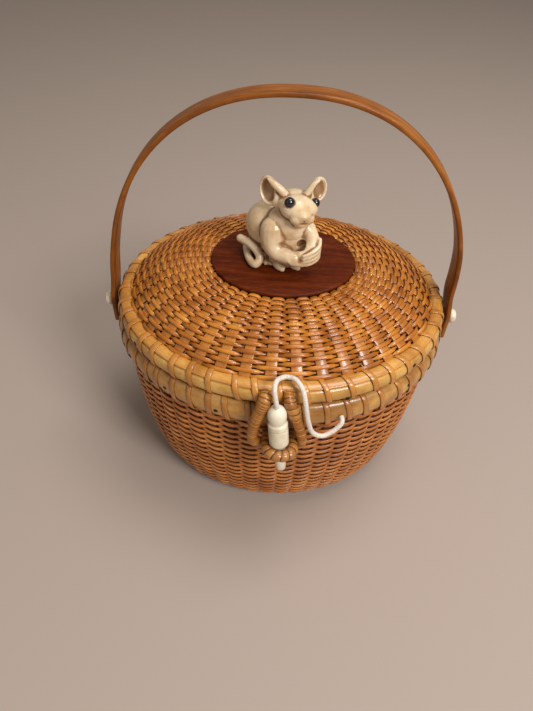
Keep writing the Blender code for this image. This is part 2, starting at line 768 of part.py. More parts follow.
def build_mouse(hinge):
    """The carved mouse: rounded masses melted into one body, with eye sockets and ear hollows."""
    shape = bmesh.new()
    for row in MOUSE_SHARES:
        add_ball(shape, mouse_spot(row), [size * MOUSE_HEIGHT for size in row[3:6]], row[6], row[7], 3)
    for limb in MOUSE_LIMB_SHARES:
        spots = smooth_route([Vector(row[:3]) for row in limb])
        widths = smooth_route([Vector((row[3], 0.0, 0.0)) for row in limb])
        for step in range(MOUSE_LIMB_STEPS):
            index = round(step * (len(spots) - 1) / (MOUSE_LIMB_STEPS - 1))
            size = widths[index].x * MOUSE_HEIGHT
            add_ball(shape, mouse_spot(spots[index]), (size, size, size))
    mouse = add_object("mouse_carving", as_mesh("mouse_carving", shape), "ivory", hinge)
    melt = mouse.modifiers.new("melt", "REMESH")
    melt.mode = "VOXEL"
    melt.voxel_size = MOUSE_VOXEL
    ease = mouse.modifiers.new("ease", "SMOOTH")
    ease.iterations = 4
    thin = mouse.modifiers.new("thin", "DECIMATE")
    thin.ratio = MOUSE_KEEP_SHARE
    hollows = bmesh.new()
    for row in MOUSE_HOLLOW_SHARES:
        add_ball(hollows, mouse_spot(row), [size * MOUSE_HEIGHT for size in row[3:6]], row[6], row[7])
    socket = EYE_RADIUS + SEAT_GAP
    for shares in EYE_SHARES:
        add_ball(hollows, mouse_spot(shares), (socket, socket, socket))
    bore_length = DOWEL_LENGTH + 2 * SEAT_GAP
    add_rod(hollows, dowel_middle(), Vector((0.0, 0.0, 1.0)), DOWEL_RADIUS + BORE_CLEAR, bore_length)
    cut(mouse, add_cutter("mouse_hollow_cutter", hollows))
    below = bmesh.new()
    foot = Vector((0.0, 0.0, PLATE_TOP + SEAT_GAP - MOUSE_HEIGHT / 2))
    add_rod(below, foot, Vector((0.0, 0.0, 1.0)), MOUSE_HEIGHT, MOUSE_HEIGHT)
    cut(mouse, add_cutter("mouse_foot_cutter", below))
    for side, shares in zip(("left", "right"), EYE_SHARES):
        eye = bmesh.new()
        add_ball(eye, mouse_spot(shares), (EYE_RADIUS, EYE_RADIUS, EYE_RADIUS))
        add_object("mouse_eye_" + side, as_mesh("mouse_eye_" + side, eye), "eye_gloss", hinge)
    dowel = bmesh.new()
    add_rod(dowel, dowel_middle(), Vector((0.0, 0.0, 1.0)), DOWEL_RADIUS, DOWEL_LENGTH)
    add_object("mouse_dowel", as_mesh("mouse_dowel", dowel), "handle_wood", hinge)


def leg_lean(height):
    """How far a leg stands out from the arch: all the way at the pin, not at all over the lid's rim."""
    part = min(max((height - PIVOT_HEIGHT - HANDLE_LEAN_LOW) / HANDLE_LEAN_HEIGHT, 0.0), 1.0)
    return (HANDLE_HALF_WIDTH - HANDLE_ARCH_HALF_WIDTH) * (1 - part * part * (3 - 2 * part))


def handle_line():
    """Points of the arch's outer face with the inward direction, width and thickness at each."""
    line = []
    for height, width in FOOT_SHARES:
        z = PIVOT_HEIGHT - HANDLE_FOOT_DROP + height * HANDLE_LEG_WIDTH
        spot = Vector((HANDLE_ARCH_HALF_WIDTH + leg_lean(z), 0.0, z))
        line.append((spot, Vector((-1.0, 0.0, 0.0)), width * HANDLE_LEG_WIDTH, HANDLE_LEG_THICKNESS))
    for step in range(HANDLE_STEPS + 1):
        turn = math.pi * step / HANDLE_STEPS
        across = abs(math.cos(turn)) ** (2 / HANDLE_POWER)
        up = math.sin(turn) ** (2 / HANDLE_POWER) if 0 < step < HANDLE_STEPS else 0.0
        side = 1.0 if step * 2 < HANDLE_STEPS else -1.0
        z = HANDLE_SPRING + up * HANDLE_RISE
        spot = Vector((side * (across * HANDLE_ARCH_HALF_WIDTH + leg_lean(z)), 0.0, z))
        inward = Vector((
            -side * across ** (HANDLE_POWER - 1) / HANDLE_ARCH_HALF_WIDTH,
            0.0,
            -(up ** (HANDLE_POWER - 1)) / HANDLE_RISE,
        )).normalized()
        width = HANDLE_LEG_WIDTH + (HANDLE_TOP_WIDTH - HANDLE_LEG_WIDTH) * up ** 1.5
        thick = HANDLE_LEG_THICKNESS + (HANDLE_TOP_THICKNESS - HANDLE_LEG_THICKNESS) * up
        line.append((spot, inward, width, thick))
    for spot, inward, width, thick in reversed(line[: len(FOOT_SHARES)]):
        line.append((Vector((-spot.x, spot.y, spot.z)), -inward, width, thick))
    return line


def build_handle(pivot):
    """The bent wooden bow, its feet rounded and bored for the pins."""
    shape = bmesh.new()
    rows = []
    for spot, inward, width, thick in handle_line():
        chamfer = thick * HANDLE_CHAMFER_SHARE
        half = width / 2
        corners = (
            (-half + chamfer, 0.0),
            (half - chamfer, 0.0),
            (half, chamfer),
            (half, thick - chamfer),
            (half - chamfer, thick),
            (-half + chamfer, thick),
            (-half, thick - chamfer),
            (-half, chamfer),
        )
        places = [spot + Vector((0.0, across, 0.0)) + inward * deep for across, deep in corners]
        rows.append([shape.verts.new(place) for place in places])
    for low, high in zip(rows, rows[1:]):
        for corner in range(len(low)):
            after = (corner + 1) % len(low)
            shape.faces.new((low[corner], low[after], high[after], high[corner]))
    shape.faces.new(rows[0])
    shape.faces.new(rows[-1])
    bow = add_object("handle_bow", as_mesh("handle_bow", shape), "handle_wood", pivot)
    bores = bmesh.new()
    for side in (-1, 1):
        middle = Vector((side * HANDLE_HALF_WIDTH, 0.0, PIVOT_HEIGHT))
        add_rod(bores, middle, Vector((1.0, 0.0, 0.0)), PIN_RADIUS + BORE_CLEAR, 4 * HANDLE_LEG_THICKNESS)
    cut(bow, add_cutter("handle_bore_cutter", bores))


def build_pivots():
    """A pin, a washer and an ivory knob each side of the handle."""
    for name, side in (("left", -1.0), ("right", 1.0)):
        out = Vector((side, 0.0, 0.0))
        middle = Vector((0.0, 0.0, PIVOT_HEIGHT))
        bore = PIN_RADIUS + BORE_CLEAR
        washer_in = BODY_RIM_HALF_LENGTH + SEAT_GAP
        washer = (
            (washer_in, bore),
            (washer_in, WASHER_RADIUS),
            (washer_in + WASHER_THICKNESS, WASHER_RADIUS),
            (washer_in + WASHER_THICKNESS, bore),
        )
        turned_body("pivot_washer_" + name, washer, middle, out, "pin_metal", sides=20, hollow=True)
        knob_in = HANDLE_HALF_WIDTH + SEAT_GAP
        knob = [(knob_in, bore)]
        for along, radius in KNOB_SHARES:
            knob.append((knob_in + along * KNOB_LENGTH, radius * KNOB_RADIUS))
        knob.append((knob_in + KNOB_LENGTH, bore))
        turned_body("pivot_knob_" + name, knob, middle, out, "ivory", sides=24, hollow=True)
        pin = (
            (PIN_HEAD_OUT - PIN_LENGTH, PIN_RADIUS),
            (PIN_HEAD_OUT - SEAT_GAP, PIN_RADIUS),
            (PIN_HEAD_OUT, PIN_RADIUS - SEAT_GAP),
        )
        turned_body("pivot_pin_" + name, pin, middle, out, "pin_metal", sides=12)


def oval_y(half_length, x):
    """Half-width of a rim's oval at a distance along it."""
    return (half_length - OVAL_INSET) * math.sqrt(1 - (x / half_length) ** 2)


def build_hinge_loops():
    """Two wound cane loops at the back that tie the lid's rim to the body's."""
    for name, side in (("left", -1.0), ("right", 1.0)):
        x = side * HINGE_LOOP_X
        low_face = oval_y(BODY_RIM_HALF_LENGTH, x) + HINGE_LOOP_SEAT
        high_face = oval_y(LID_RIM_HALF_LENGTH, x) + HINGE_LOOP_SEAT
        low = HINGE_Z - HINGE_LOOP_DROP
        high = HINGE_Z + HINGE_LOOP_RISE
        middle_z = (low + high) / 2
        route = [
            Vector((x, low_face, low)),
            Vector((x, low_face + HINGE_LOOP_OUT / 2, low + HINGE_LOOP_RADIUS / 2)),
            Vector((x, low_face + HINGE_LOOP_OUT, middle_z - HINGE_LOOP_RADIUS)),
            Vector((x, high_face + HINGE_LOOP_OUT, middle_z + 2 * HINGE_LOOP_RADIUS)),
            Vector((x, high_face + HINGE_LOOP_OUT / 2, high - HINGE_LOOP_RADIUS / 2)),
            Vector((x, high_face, high)),
        ]
        wound_tube("hinge_loop_" + name, route, HINGE_LOOP_RADIUS, HINGE_LOOP_WRAPS, "wrapped_cane")


def peg_spot(share):
    """A place on the peg's axis, as a share of its length from the top."""
    top = PEG_BALL + PEG_AXIS * PEG_BALL_RADIUS
    return top - PEG_AXIS * (share * PEG_LENGTH)


def build_peg(seat):
    """The turned ivory peg: a ball head, a grooved body and a shank."""
    profile = [(along * PEG_LENGTH, radius * PEG_RADIUS) for along, radius in PEG_SHARES]
    turned_body("latch_peg", profile, peg_spot(0.0), -PEG_AXIS, "ivory", seat, sides=20)


def build_ring():
    """The wound staple ring on the wall, square to the peg."""
    middle = peg_spot(RING_SHARE_DOWN)
    route = []
    for step in range(9):
        turn = math.pi * step / 8
        x = middle.x - RING_HALF_WIDTH * math.cos(turn)
        y = middle.y - RING_REACH * math.sin(turn)
        route.append(Vector((x, y, middle.z - RING_TILT_SHARE * (y - middle.y))))
    root_z = middle.z - RING_TILT_SHARE * (RING_ROOT_Y - middle.y)
    for part in (0.5, 1.0):
        y = middle.y + (RING_ROOT_Y - middle.y) * part
        z = middle.z + (root_z - middle.z) * part
        route.insert(0, Vector((middle.x - RING_HALF_WIDTH, y, z)))
        route.append(Vector((middle.x + RING_HALF_WIDTH, y, z)))
    wound_tube("staple_ring", route, RING_RADIUS, RING_WRAPS, "wrapped_cane")


def build_hasp(pivot):
    """The closed loop wound with cane; only its thin core lies in the rim's groove."""
    route = [HASP_BAR + Vector(row) * HASP_LENGTH for row in HASP_SHARES]

    def thin_in_groove(spot, wide):
        away = (spot - HASP_BAR).length - HASP_BAR_HALF
        part = min(max(away / HASP_TAPER, 0.0), 1.0)
        return HASP_CORE_RADIUS + (wide - HASP_CORE_RADIUS) * part

    wound_tube("hasp_loop", route, HASP_RADIUS, HASP_WRAPS, "wrapped_cane", pivot, True, thin_in_groove)


def build_cord():
    """The cord that keeps the peg with the basket."""
    route = [CORD_START + Vector(row) * CORD_SPAN for row in CORD_SHARES]
    line = smooth_route(route)
    length = sum((after - before).length for before, after in zip(line, line[1:]))
    count = round(length / CORD_STEP) + 1
    tube_body("latch_cord", even_points(line, count), [CORD_RADIUS] * count, "cord_cotton")


clear_scene()
MATERIALS = make_materials()
PIVOTS = {}
lid_hinge = add_pivot("lid_hinge", (0.0, HINGE_Y, HINGE_Z))
handle_pivot = add_pivot("handle_pivot", (0.0, 0.0, PIVOT_HEIGHT))
hasp_pivot = add_pivot("hasp_pivot", HASP_BAR, lid_hinge)
peg_seat = add_pivot("peg_seat", PEG_BALL)
build_base()
build_wall()
build_body_rims()
build_hinge_loops()
build_pivots()
build_ring()
build_cord()
build_lid(lid_hinge)
build_plate(lid_hinge)
build_mouse(lid_hinge)
build_handle(handle_pivot)
build_hasp(hasp_pivot)
build_peg(peg_seat)
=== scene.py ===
# %% [markdown]
# # A woven lidded basket
# This lesson dresses a measured frame with the weave, rims, lashings, carving and latch
# that make the basket. The frame fixes the sizes and what each piece rides on, so a new
# piece only has to stand in the right place. Loading it first gives the box to stay inside.

# %% Load the frame
import bisect
import functools
import json
import math
import random

import bmesh
import bpy
from mathutils import Matrix, Vector
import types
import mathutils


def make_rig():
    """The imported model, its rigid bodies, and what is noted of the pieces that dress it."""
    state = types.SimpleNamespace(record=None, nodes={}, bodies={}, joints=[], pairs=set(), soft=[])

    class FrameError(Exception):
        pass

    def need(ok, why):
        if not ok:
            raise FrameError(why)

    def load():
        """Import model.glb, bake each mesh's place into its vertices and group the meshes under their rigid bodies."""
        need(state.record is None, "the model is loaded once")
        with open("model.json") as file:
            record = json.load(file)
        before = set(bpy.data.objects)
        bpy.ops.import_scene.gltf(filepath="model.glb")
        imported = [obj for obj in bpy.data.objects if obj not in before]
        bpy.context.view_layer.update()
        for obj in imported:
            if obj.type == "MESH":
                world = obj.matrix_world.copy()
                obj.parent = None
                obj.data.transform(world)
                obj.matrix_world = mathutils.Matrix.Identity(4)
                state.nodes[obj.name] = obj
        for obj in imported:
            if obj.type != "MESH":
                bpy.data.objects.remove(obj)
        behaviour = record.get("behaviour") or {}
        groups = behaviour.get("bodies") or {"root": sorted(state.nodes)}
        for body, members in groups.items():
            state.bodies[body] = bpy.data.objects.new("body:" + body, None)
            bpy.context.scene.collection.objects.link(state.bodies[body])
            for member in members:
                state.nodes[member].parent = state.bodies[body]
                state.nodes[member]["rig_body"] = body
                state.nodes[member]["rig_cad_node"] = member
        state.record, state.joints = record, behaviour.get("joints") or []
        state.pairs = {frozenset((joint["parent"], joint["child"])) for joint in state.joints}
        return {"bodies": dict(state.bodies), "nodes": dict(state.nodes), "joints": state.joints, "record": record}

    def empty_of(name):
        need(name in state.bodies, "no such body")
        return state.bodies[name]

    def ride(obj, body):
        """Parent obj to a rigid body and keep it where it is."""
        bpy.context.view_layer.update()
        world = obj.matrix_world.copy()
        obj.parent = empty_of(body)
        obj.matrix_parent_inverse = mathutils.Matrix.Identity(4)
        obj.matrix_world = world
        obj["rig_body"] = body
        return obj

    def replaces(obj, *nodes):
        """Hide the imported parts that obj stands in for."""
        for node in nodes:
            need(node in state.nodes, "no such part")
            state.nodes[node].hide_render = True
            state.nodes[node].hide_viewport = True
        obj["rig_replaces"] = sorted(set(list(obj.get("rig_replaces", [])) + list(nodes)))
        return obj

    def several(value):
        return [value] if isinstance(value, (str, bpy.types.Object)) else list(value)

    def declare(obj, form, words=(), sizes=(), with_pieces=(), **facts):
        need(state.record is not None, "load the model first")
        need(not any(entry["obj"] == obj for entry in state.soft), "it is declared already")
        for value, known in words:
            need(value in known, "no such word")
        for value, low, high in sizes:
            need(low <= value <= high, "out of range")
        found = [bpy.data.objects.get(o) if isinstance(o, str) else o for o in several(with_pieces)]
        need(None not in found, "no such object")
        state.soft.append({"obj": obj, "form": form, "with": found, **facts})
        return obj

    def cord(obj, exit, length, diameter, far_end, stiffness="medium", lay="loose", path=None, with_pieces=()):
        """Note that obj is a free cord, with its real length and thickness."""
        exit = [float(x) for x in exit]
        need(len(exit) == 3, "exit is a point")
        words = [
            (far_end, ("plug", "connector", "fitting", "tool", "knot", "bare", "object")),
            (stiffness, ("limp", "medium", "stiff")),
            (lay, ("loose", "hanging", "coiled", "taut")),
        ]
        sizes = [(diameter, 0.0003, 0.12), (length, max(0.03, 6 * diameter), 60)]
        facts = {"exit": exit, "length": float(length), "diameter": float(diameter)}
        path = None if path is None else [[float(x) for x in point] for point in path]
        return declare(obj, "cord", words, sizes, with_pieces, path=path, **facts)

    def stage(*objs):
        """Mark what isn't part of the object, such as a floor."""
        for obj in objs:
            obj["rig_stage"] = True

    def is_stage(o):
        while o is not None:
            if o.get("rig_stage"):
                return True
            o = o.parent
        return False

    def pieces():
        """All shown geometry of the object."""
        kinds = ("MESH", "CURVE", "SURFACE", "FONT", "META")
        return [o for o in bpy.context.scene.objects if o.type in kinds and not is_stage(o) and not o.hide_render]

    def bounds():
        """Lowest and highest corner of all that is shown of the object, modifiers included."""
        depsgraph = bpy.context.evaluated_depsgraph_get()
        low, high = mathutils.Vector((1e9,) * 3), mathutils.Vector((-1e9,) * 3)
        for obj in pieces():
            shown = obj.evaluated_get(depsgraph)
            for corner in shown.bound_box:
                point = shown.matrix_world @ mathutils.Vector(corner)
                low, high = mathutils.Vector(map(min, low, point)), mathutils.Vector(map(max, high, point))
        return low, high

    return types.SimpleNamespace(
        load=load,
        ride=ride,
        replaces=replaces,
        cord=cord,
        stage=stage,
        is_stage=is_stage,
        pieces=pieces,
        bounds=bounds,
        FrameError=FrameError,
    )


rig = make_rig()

for thing in list(bpy.data.objects):
    bpy.data.objects.remove(thing, do_unlink=True)
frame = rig.load()
cad_low, cad_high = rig.bounds()
print("frame pieces:", len(frame["nodes"]), "height", round(cad_high.z, 4))

# %% [markdown]
# ## Camera
# The photograph looks down on the basket's front. The place and the three angles come from
# matching the ovals of both rims, so the same edges fall on the same pixels. A matrix built
# from three square directions holds all three angles without any doubt about their order.

# %% Camera
PHOTO_FOCAL_PIXELS = 559
PHOTO_LONG_SIDE_PIXELS = 711
CAMERA_PLACE = (-0.00276, -0.27709, 0.3590)
pitch, roll, yaw = math.radians(46.0), math.radians(2.4), math.radians(-1.0)
level_right = Vector((math.cos(yaw), -math.sin(yaw), 0.0))
forward = Vector((math.sin(yaw) * math.cos(pitch), math.cos(yaw) * math.cos(pitch), -math.sin(pitch)))
level_up = Vector((math.sin(yaw) * math.sin(pitch), math.cos(yaw) * math.sin(pitch), math.cos(pitch)))
image_right = level_right * math.cos(roll) + level_up * math.sin(roll)
image_up = level_up * math.cos(roll) - level_right * math.sin(roll)
camera = bpy.data.objects.new("camera", bpy.data.cameras.new("camera"))
bpy.context.scene.collection.objects.link(camera)
facing = Matrix((image_right, image_up, -forward)).transposed().to_4x4()
camera.matrix_world = Matrix.Translation(CAMERA_PLACE) @ facing
camera.data.sensor_width = 36.0
camera.data.lens = PHOTO_FOCAL_PIXELS * camera.data.sensor_width / PHOTO_LONG_SIDE_PIXELS
camera.data.clip_start = 0.01
bpy.context.scene.camera = camera
print("lens", round(camera.data.lens, 2), "mm")

# %% [markdown]
# ## Lines
# Hoops, handle, cord and carved limbs all follow a line. It could be a curve object, but a
# smooth line through a few given points that is measured once gives a place and a
# direction at any share of its length, which every later rule asks for.


# %% Lines
def smooth_line(route, closed=False, fineness=24):
    """Points of a smooth line through a route."""
    count = len(route)
    line = []
    for span in range(count if closed else count - 1):
        if closed:
            near = [route[(span + step) % count] for step in (-1, 0, 1, 2)]
        else:
            near = [route[min(max(span + step, 0), count - 1)] for step in (-1, 0, 1, 2)]
        for step in range(fineness):
            part = step / fineness
            weights = (
                -0.5 * part**3 + part**2 - 0.5 * part,
                1.5 * part**3 - 2.5 * part**2 + 1.0,
                -1.5 * part**3 + 2.0 * part**2 + 0.5 * part,
                0.5 * part**3 - 0.5 * part**2,
            )
            pulls = (spot * weight for spot, weight in zip(near, weights))
            line.append(sum(pulls, Vector((0, 0, 0))))
    line.append(route[0].copy() if closed else route[-1].copy())
    return line


def measure(line):
    """Distances along a line, with its points."""
    reached = [0.0]
    for before, after in zip(line, line[1:]):
        reached.append(reached[-1] + (after - before).length)
    return reached, line


def place_on(measured, share):
    """Place and direction at a share of a measured line's length."""
    reached, line = measured
    wanted = min(max(share, 0.0), 1.0) * reached[-1]
    index = min(max(bisect.bisect_right(reached, wanted) - 1, 0), len(line) - 2)
    span = line[index + 1] - line[index]
    part = (wanted - reached[index]) / max(span.length, 1e-9)
    return line[index] + span * part, span.normalized()


def profile_line(section, closed=False, fineness=24):
    """A measured line through points of half-length and height."""
    route = [Vector((half_length, 0.0, height)) for half_length, height in section]
    return measure(smooth_line(route, closed, fineness))


def carried_frames(measured, count, closed):
    """Places with side and up directions carried along a line without twisting."""
    frames = []
    side = None
    for step in range(count + 1):
        spot, ahead = place_on(measured, step / count)
        if side is None:
            side = ahead.orthogonal().normalized()
        side = (side - ahead * side.dot(ahead)).normalized()
        frames.append((spot, side.copy(), ahead.cross(side).normalized()))
    return frames


def clamped(value):
    """A value kept between 0 and 1."""
    return min(max(value, 0.0), 1.0)


def blunted(value, power):
    """A sine or cosine whose ups and downs are made squarer, with its sign kept."""
    return math.copysign(abs(value) ** power, value)


bend = [Vector((0, 0, 0)), Vector((0, 0, 1)), Vector((0, 1, 1))]
print("a bend through 3 places:", len(smooth_line(bend)), "points")

# %% [markdown]
# ## Ovals
# The basket was woven on an oval mould, so every hoop and woven round is an oval that is
# 14 mm narrower than long on each side. Keeping that one inset in one place makes all the
# rims and rounds run side by side, as they do on the real basket.

# %% Ovals
OVAL_INSET = 0.014
RIM_CROWDING = 0.038


def even_turn(share, crowding=RIM_CROWDING):
    """Angle on an oval for a share of its edge; less crowding opens the front and back."""
    turn = 2 * math.pi * share
    return turn + crowding * math.sin(2 * turn)


def oval_spot(half_length, half_width, turn, height=0.0):
    """A point of an oval."""
    return Vector((half_length * math.cos(turn), half_width * math.sin(turn), height))


def rim_spot(half_length, turn, height):
    """A point of an oval with the basket's own inset."""
    return oval_spot(half_length, half_length - OVAL_INSET, turn, height)


def rim_outward(half_length, turn):
    """The level direction square to such an oval's edge."""
    across, along = half_length - OVAL_INSET, half_length
    return Vector((across * math.cos(turn), along * math.sin(turn), 0.0)).normalized()


print("a rim point:", tuple(round(value, 4) for value in rim_spot(0.1036, 0.0, 0.0)))

# %% [markdown]
# ## Shaping grids
# A strip of cane, a wound tube and a hoop are all a flat sheet rolled and bent. So each is
# one unit grid whose points are moved by a short rule, its edges then merged and its ends
# closed. The grid brings a UV map that keeps patterns running along the strip.


# %% Grid helper
def finish_piece(name, shape, finish, body, replaced=()):
    """Turns a bmesh into a smooth-shaded piece that rides on a body."""
    bmesh.ops.recalc_face_normals(shape, faces=shape.faces)
    data = bpy.data.meshes.new(name)
    shape.to_mesh(data)
    shape.free()
    data.polygons.foreach_set("use_smooth", [True] * len(data.polygons))
    piece = bpy.data.objects.new(name, data)
    bpy.context.scene.collection.objects.link(piece)
    data.materials.append(finish)
    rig.ride(piece, body)
    if replaced:
        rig.replaces(piece, *replaced)
    print(name, len(data.polygons), "faces")
    return piece


def add_grid(shape, along, around, rule, length=1.0, loop=False):
    """Adds a grid rolled into a tube by rule(u, v); its UVs run along it over a length."""
    layer = shape.loops.layers.uv.verify()
    made = bmesh.ops.create_grid(shape, x_segments=along, y_segments=around, size=0.5, calc_uvs=True)
    verts = made["verts"]
    for face in {face for vert in verts for face in vert.link_faces}:
        for corner in face.loops:
            spot = corner.vert.co
            corner[layer].uv = ((spot.x + 0.5) * length, spot.y + 0.5)
    for vert in verts:
        vert.co = rule(vert.co.x + 0.5, vert.co.y + 0.5)
    bmesh.ops.remove_doubles(shape, verts=verts, dist=1e-6)
    if not loop:
        bmesh.ops.holes_fill(shape, edges=[edge for edge in shape.edges if edge.is_boundary])


print("grid helper ready")

# %% [markdown]
# ## Finish helpers
# Every surface is coloured by nodes, so it keeps its detail at any distance. The node
# editor would need the same few boxes again and again, so each gets a helper of a few
# lines: coordinates, noise, a ramp of tones, a mix, a sum and a bump.


# %% Finish helpers
def start_finish(name, roughness, coat=0.0, coat_roughness=0.12, shine=0.5):
    """A new material with its Principled shader."""
    finish = bpy.data.materials.new(name)
    finish.use_nodes = True
    shader = finish.node_tree.nodes["Principled BSDF"]
    shader.inputs["Roughness"].default_value = roughness
    shader.inputs["Coat Weight"].default_value = coat
    shader.inputs["Coat Roughness"].default_value = coat_roughness
    shader.inputs["Specular IOR Level"].default_value = shine
    return finish, finish.node_tree, shader


def pattern_source(tree, kind, stretch):
    """Coordinates stretched along each direction, from the object or its UV map."""
    if kind == "UV":
        source = tree.nodes.new("ShaderNodeUVMap").outputs["UV"]
    else:
        source = tree.nodes.new("ShaderNodeTexCoord").outputs["Object"]
    mapping = tree.nodes.new("ShaderNodeMapping")
    mapping.inputs["Scale"].default_value = stretch
    tree.links.new(source, mapping.inputs["Vector"])
    return mapping.outputs["Vector"]


def along_and_around(tree):
    """The UV map's distance along a strip and its share round it."""
    split = tree.nodes.new("ShaderNodeSeparateXYZ")
    tree.links.new(pattern_source(tree, "UV", (1.0, 1.0, 1.0)), split.inputs[0])
    return split.outputs["X"], split.outputs["Y"]


def noise(tree, vector, detail=3.0, distortion=0.0):
    """Noise of unit scale on given coordinates."""
    node = tree.nodes.new("ShaderNodeTexNoise")
    node.inputs["Scale"].default_value = 1.0
    node.inputs["Detail"].default_value = detail
    node.inputs["Distortion"].default_value = distortion
    tree.links.new(vector, node.inputs["Vector"])
    return node.outputs["Fac"]


def speckle(tree, scale, detail):
    """Noise that is as fine in every direction of the object."""
    return noise(tree, pattern_source(tree, "OBJECT", (scale, scale, scale)), detail)


def tones(tree, factor, stops):
    """Colours from a factor, through stops of place and colour."""
    ramp = tree.nodes.new("ShaderNodeValToRGB")
    while len(ramp.color_ramp.elements) < len(stops):
        ramp.color_ramp.elements.new(0.5)
    for element, (place, colour) in zip(ramp.color_ramp.elements, stops):
        element.position = place
        element.color = (*colour, 1.0)
    tree.links.new(factor, ramp.inputs["Fac"])
    return ramp.outputs["Color"]


def set_or_link(tree, socket, value):
    """Links a socket to another, or sets it to a number or a colour."""
    if isinstance(value, bpy.types.NodeSocket):
        tree.links.new(value, socket)
    elif isinstance(value, tuple):
        socket.default_value = (*value, 1.0)
    else:
        socket.default_value = value


def blend_colour(tree, factor, first, second, kind="MIX"):
    """Mixes two colours by a factor."""
    mix = tree.nodes.new("ShaderNodeMix")
    mix.data_type = "RGBA"
    mix.blend_type = kind
    for socket, value in ((mix.inputs[0], factor), (mix.inputs[6], first), (mix.inputs[7], second)):
        set_or_link(tree, socket, value)
    return mix.outputs[2]


def arithmetic(tree, operation, first, second=0.0):
    """One Math node."""
    node = tree.nodes.new("ShaderNodeMath")
    node.operation = operation
    for socket, value in zip(node.inputs, (first, second)):
        set_or_link(tree, socket, value)
    return node.outputs[0]


def weighed(tree, first, second, share):
    """The first value's share with the second value for the rest."""
    kept = arithmetic(tree, "MULTIPLY", first, share)
    rest = arithmetic(tree, "MULTIPLY", second, 1 - share)
    return arithmetic(tree, "ADD", kept, rest)


def colour_by(tree, shader, colour):
    """Gives the shader its colour."""
    tree.links.new(colour, shader.inputs["Base Color"])


def add_bump(tree, shader, height, depth, strength):
    """Raises a surface by a height pattern, in metres."""
    bump = tree.nodes.new("ShaderNodeBump")
    bump.inputs["Strength"].default_value = strength
    bump.inputs["Distance"].default_value = depth
    tree.links.new(height, bump.inputs["Height"])
    tree.links.new(bump.outputs["Normal"], shader.inputs["Normal"])


print("finish helpers ready")

# %% [markdown]
# ## Cane, wood and binding
# Varnished cane is glossy, with long fibres and a darker line at its edges, partly where the
# varnish gathers and partly painted shade along the edges. Wood has stretched grain. A binding
# shows each turn in its own tone with a dark line between. Flat colours would look like plastic,
# so each is built from noise: cane and binding read the UV map, which follows their strip, and
# wood reads the object's own axes.

# %% Cane, wood and binding
BLACK, WHITE = (0.0, 0.0, 0.0), (1.0, 1.0, 1.0)
CANE_FIBRE_SHADE = (0.72, 0.66, 0.6)


def cane_finish(name, shades, edge_stain_and_shade, roughness, coat, edge_stain_and_shade_amount, shine=0.5):
    """Varnished cane in dark, middle and light shades, with edges darkened by gathered varnish and by painted shade.
    """
    finish, tree, shader = start_finish(name, roughness, coat, shine=shine)
    tone = noise(tree, pattern_source(tree, "UV", (45.0, 0.8, 1.0)), 2.0)
    patch = speckle(tree, 70.0, 2.0)
    fibre = noise(tree, pattern_source(tree, "UV", (260.0, 22.0, 1.0)), 3.0)
    colour = tones(tree, weighed(tree, tone, patch, 0.5), tuple(zip((0.34, 0.5, 0.66), shades)))
    fibre_tone = tones(tree, fibre, ((0.35, CANE_FIBRE_SHADE), (0.6, WHITE)))
    colour = blend_colour(tree, 0.55, colour, fibre_tone, "MULTIPLY")
    turn = arithmetic(tree, "MULTIPLY", along_and_around(tree)[1], 2 * math.pi)
    crown = arithmetic(tree, "ABSOLUTE", arithmetic(tree, "SINE", turn))
    edge = tones(tree, crown, ((0.15, WHITE), (0.6, BLACK)))
    # Darker edges: partly gathered varnish, partly painted shade along each strip's edges.
    colour = blend_colour(tree, arithmetic(tree, "MULTIPLY", edge, edge_stain_and_shade_amount), colour, edge_stain_and_shade)
    colour_by(tree, shader, colour)
    add_bump(tree, shader, fibre, 0.00006, 0.6)
    return finish


def wood_finish(name, shades, grain, roughness, coat, shine=0.5):
    """Wood with grain stretched along one direction of the object."""
    finish, tree, shader = start_finish(name, roughness, coat, shine=shine)
    broad_grain = tuple(value * 0.16 for value in grain)
    broad = noise(tree, pattern_source(tree, "OBJECT", broad_grain), 3.0, 0.6)
    fine = noise(tree, pattern_source(tree, "OBJECT", grain), 4.0)
    colour = tones(tree, weighed(tree, broad, fine, 0.6), tuple(zip((0.36, 0.5, 0.64), shades)))
    colour_by(tree, shader, colour)
    add_bump(tree, shader, fine, 0.00008, 0.5)
    return finish


def binding_finish(name, dark, light, line, line_width):
    """Cane wound round and round: each turn its own tone, with a dark line between turns."""
    finish, tree, shader = start_finish(name, 0.36, 0.3)
    turns = arithmetic(tree, "ADD", *along_and_around(tree))
    within = arithmetic(tree, "FRACT", turns)
    own_tone = tree.nodes.new("ShaderNodeTexWhiteNoise")
    own_tone.noise_dimensions = "1D"
    tree.links.new(arithmetic(tree, "FLOOR", turns), own_tone.inputs["W"])
    fibre = noise(tree, pattern_source(tree, "UV", (6.0, 9.0, 1.0)), 3.0)
    colour = tones(tree, weighed(tree, own_tone.outputs["Value"], fibre, 0.5), ((0.2, dark), (0.75, light)))
    edge = arithmetic(tree, "MINIMUM", within, arithmetic(tree, "SUBTRACT", 1.0, within))
    mask = tones(tree, edge, ((line_width * 0.35, WHITE), (line_width, BLACK)))
    colour_by(tree, shader, blend_colour(tree, mask, colour, line))
    add_bump(tree, shader, fibre, 0.00006, 0.5)
    return finish


print("three kinds of finish ready")
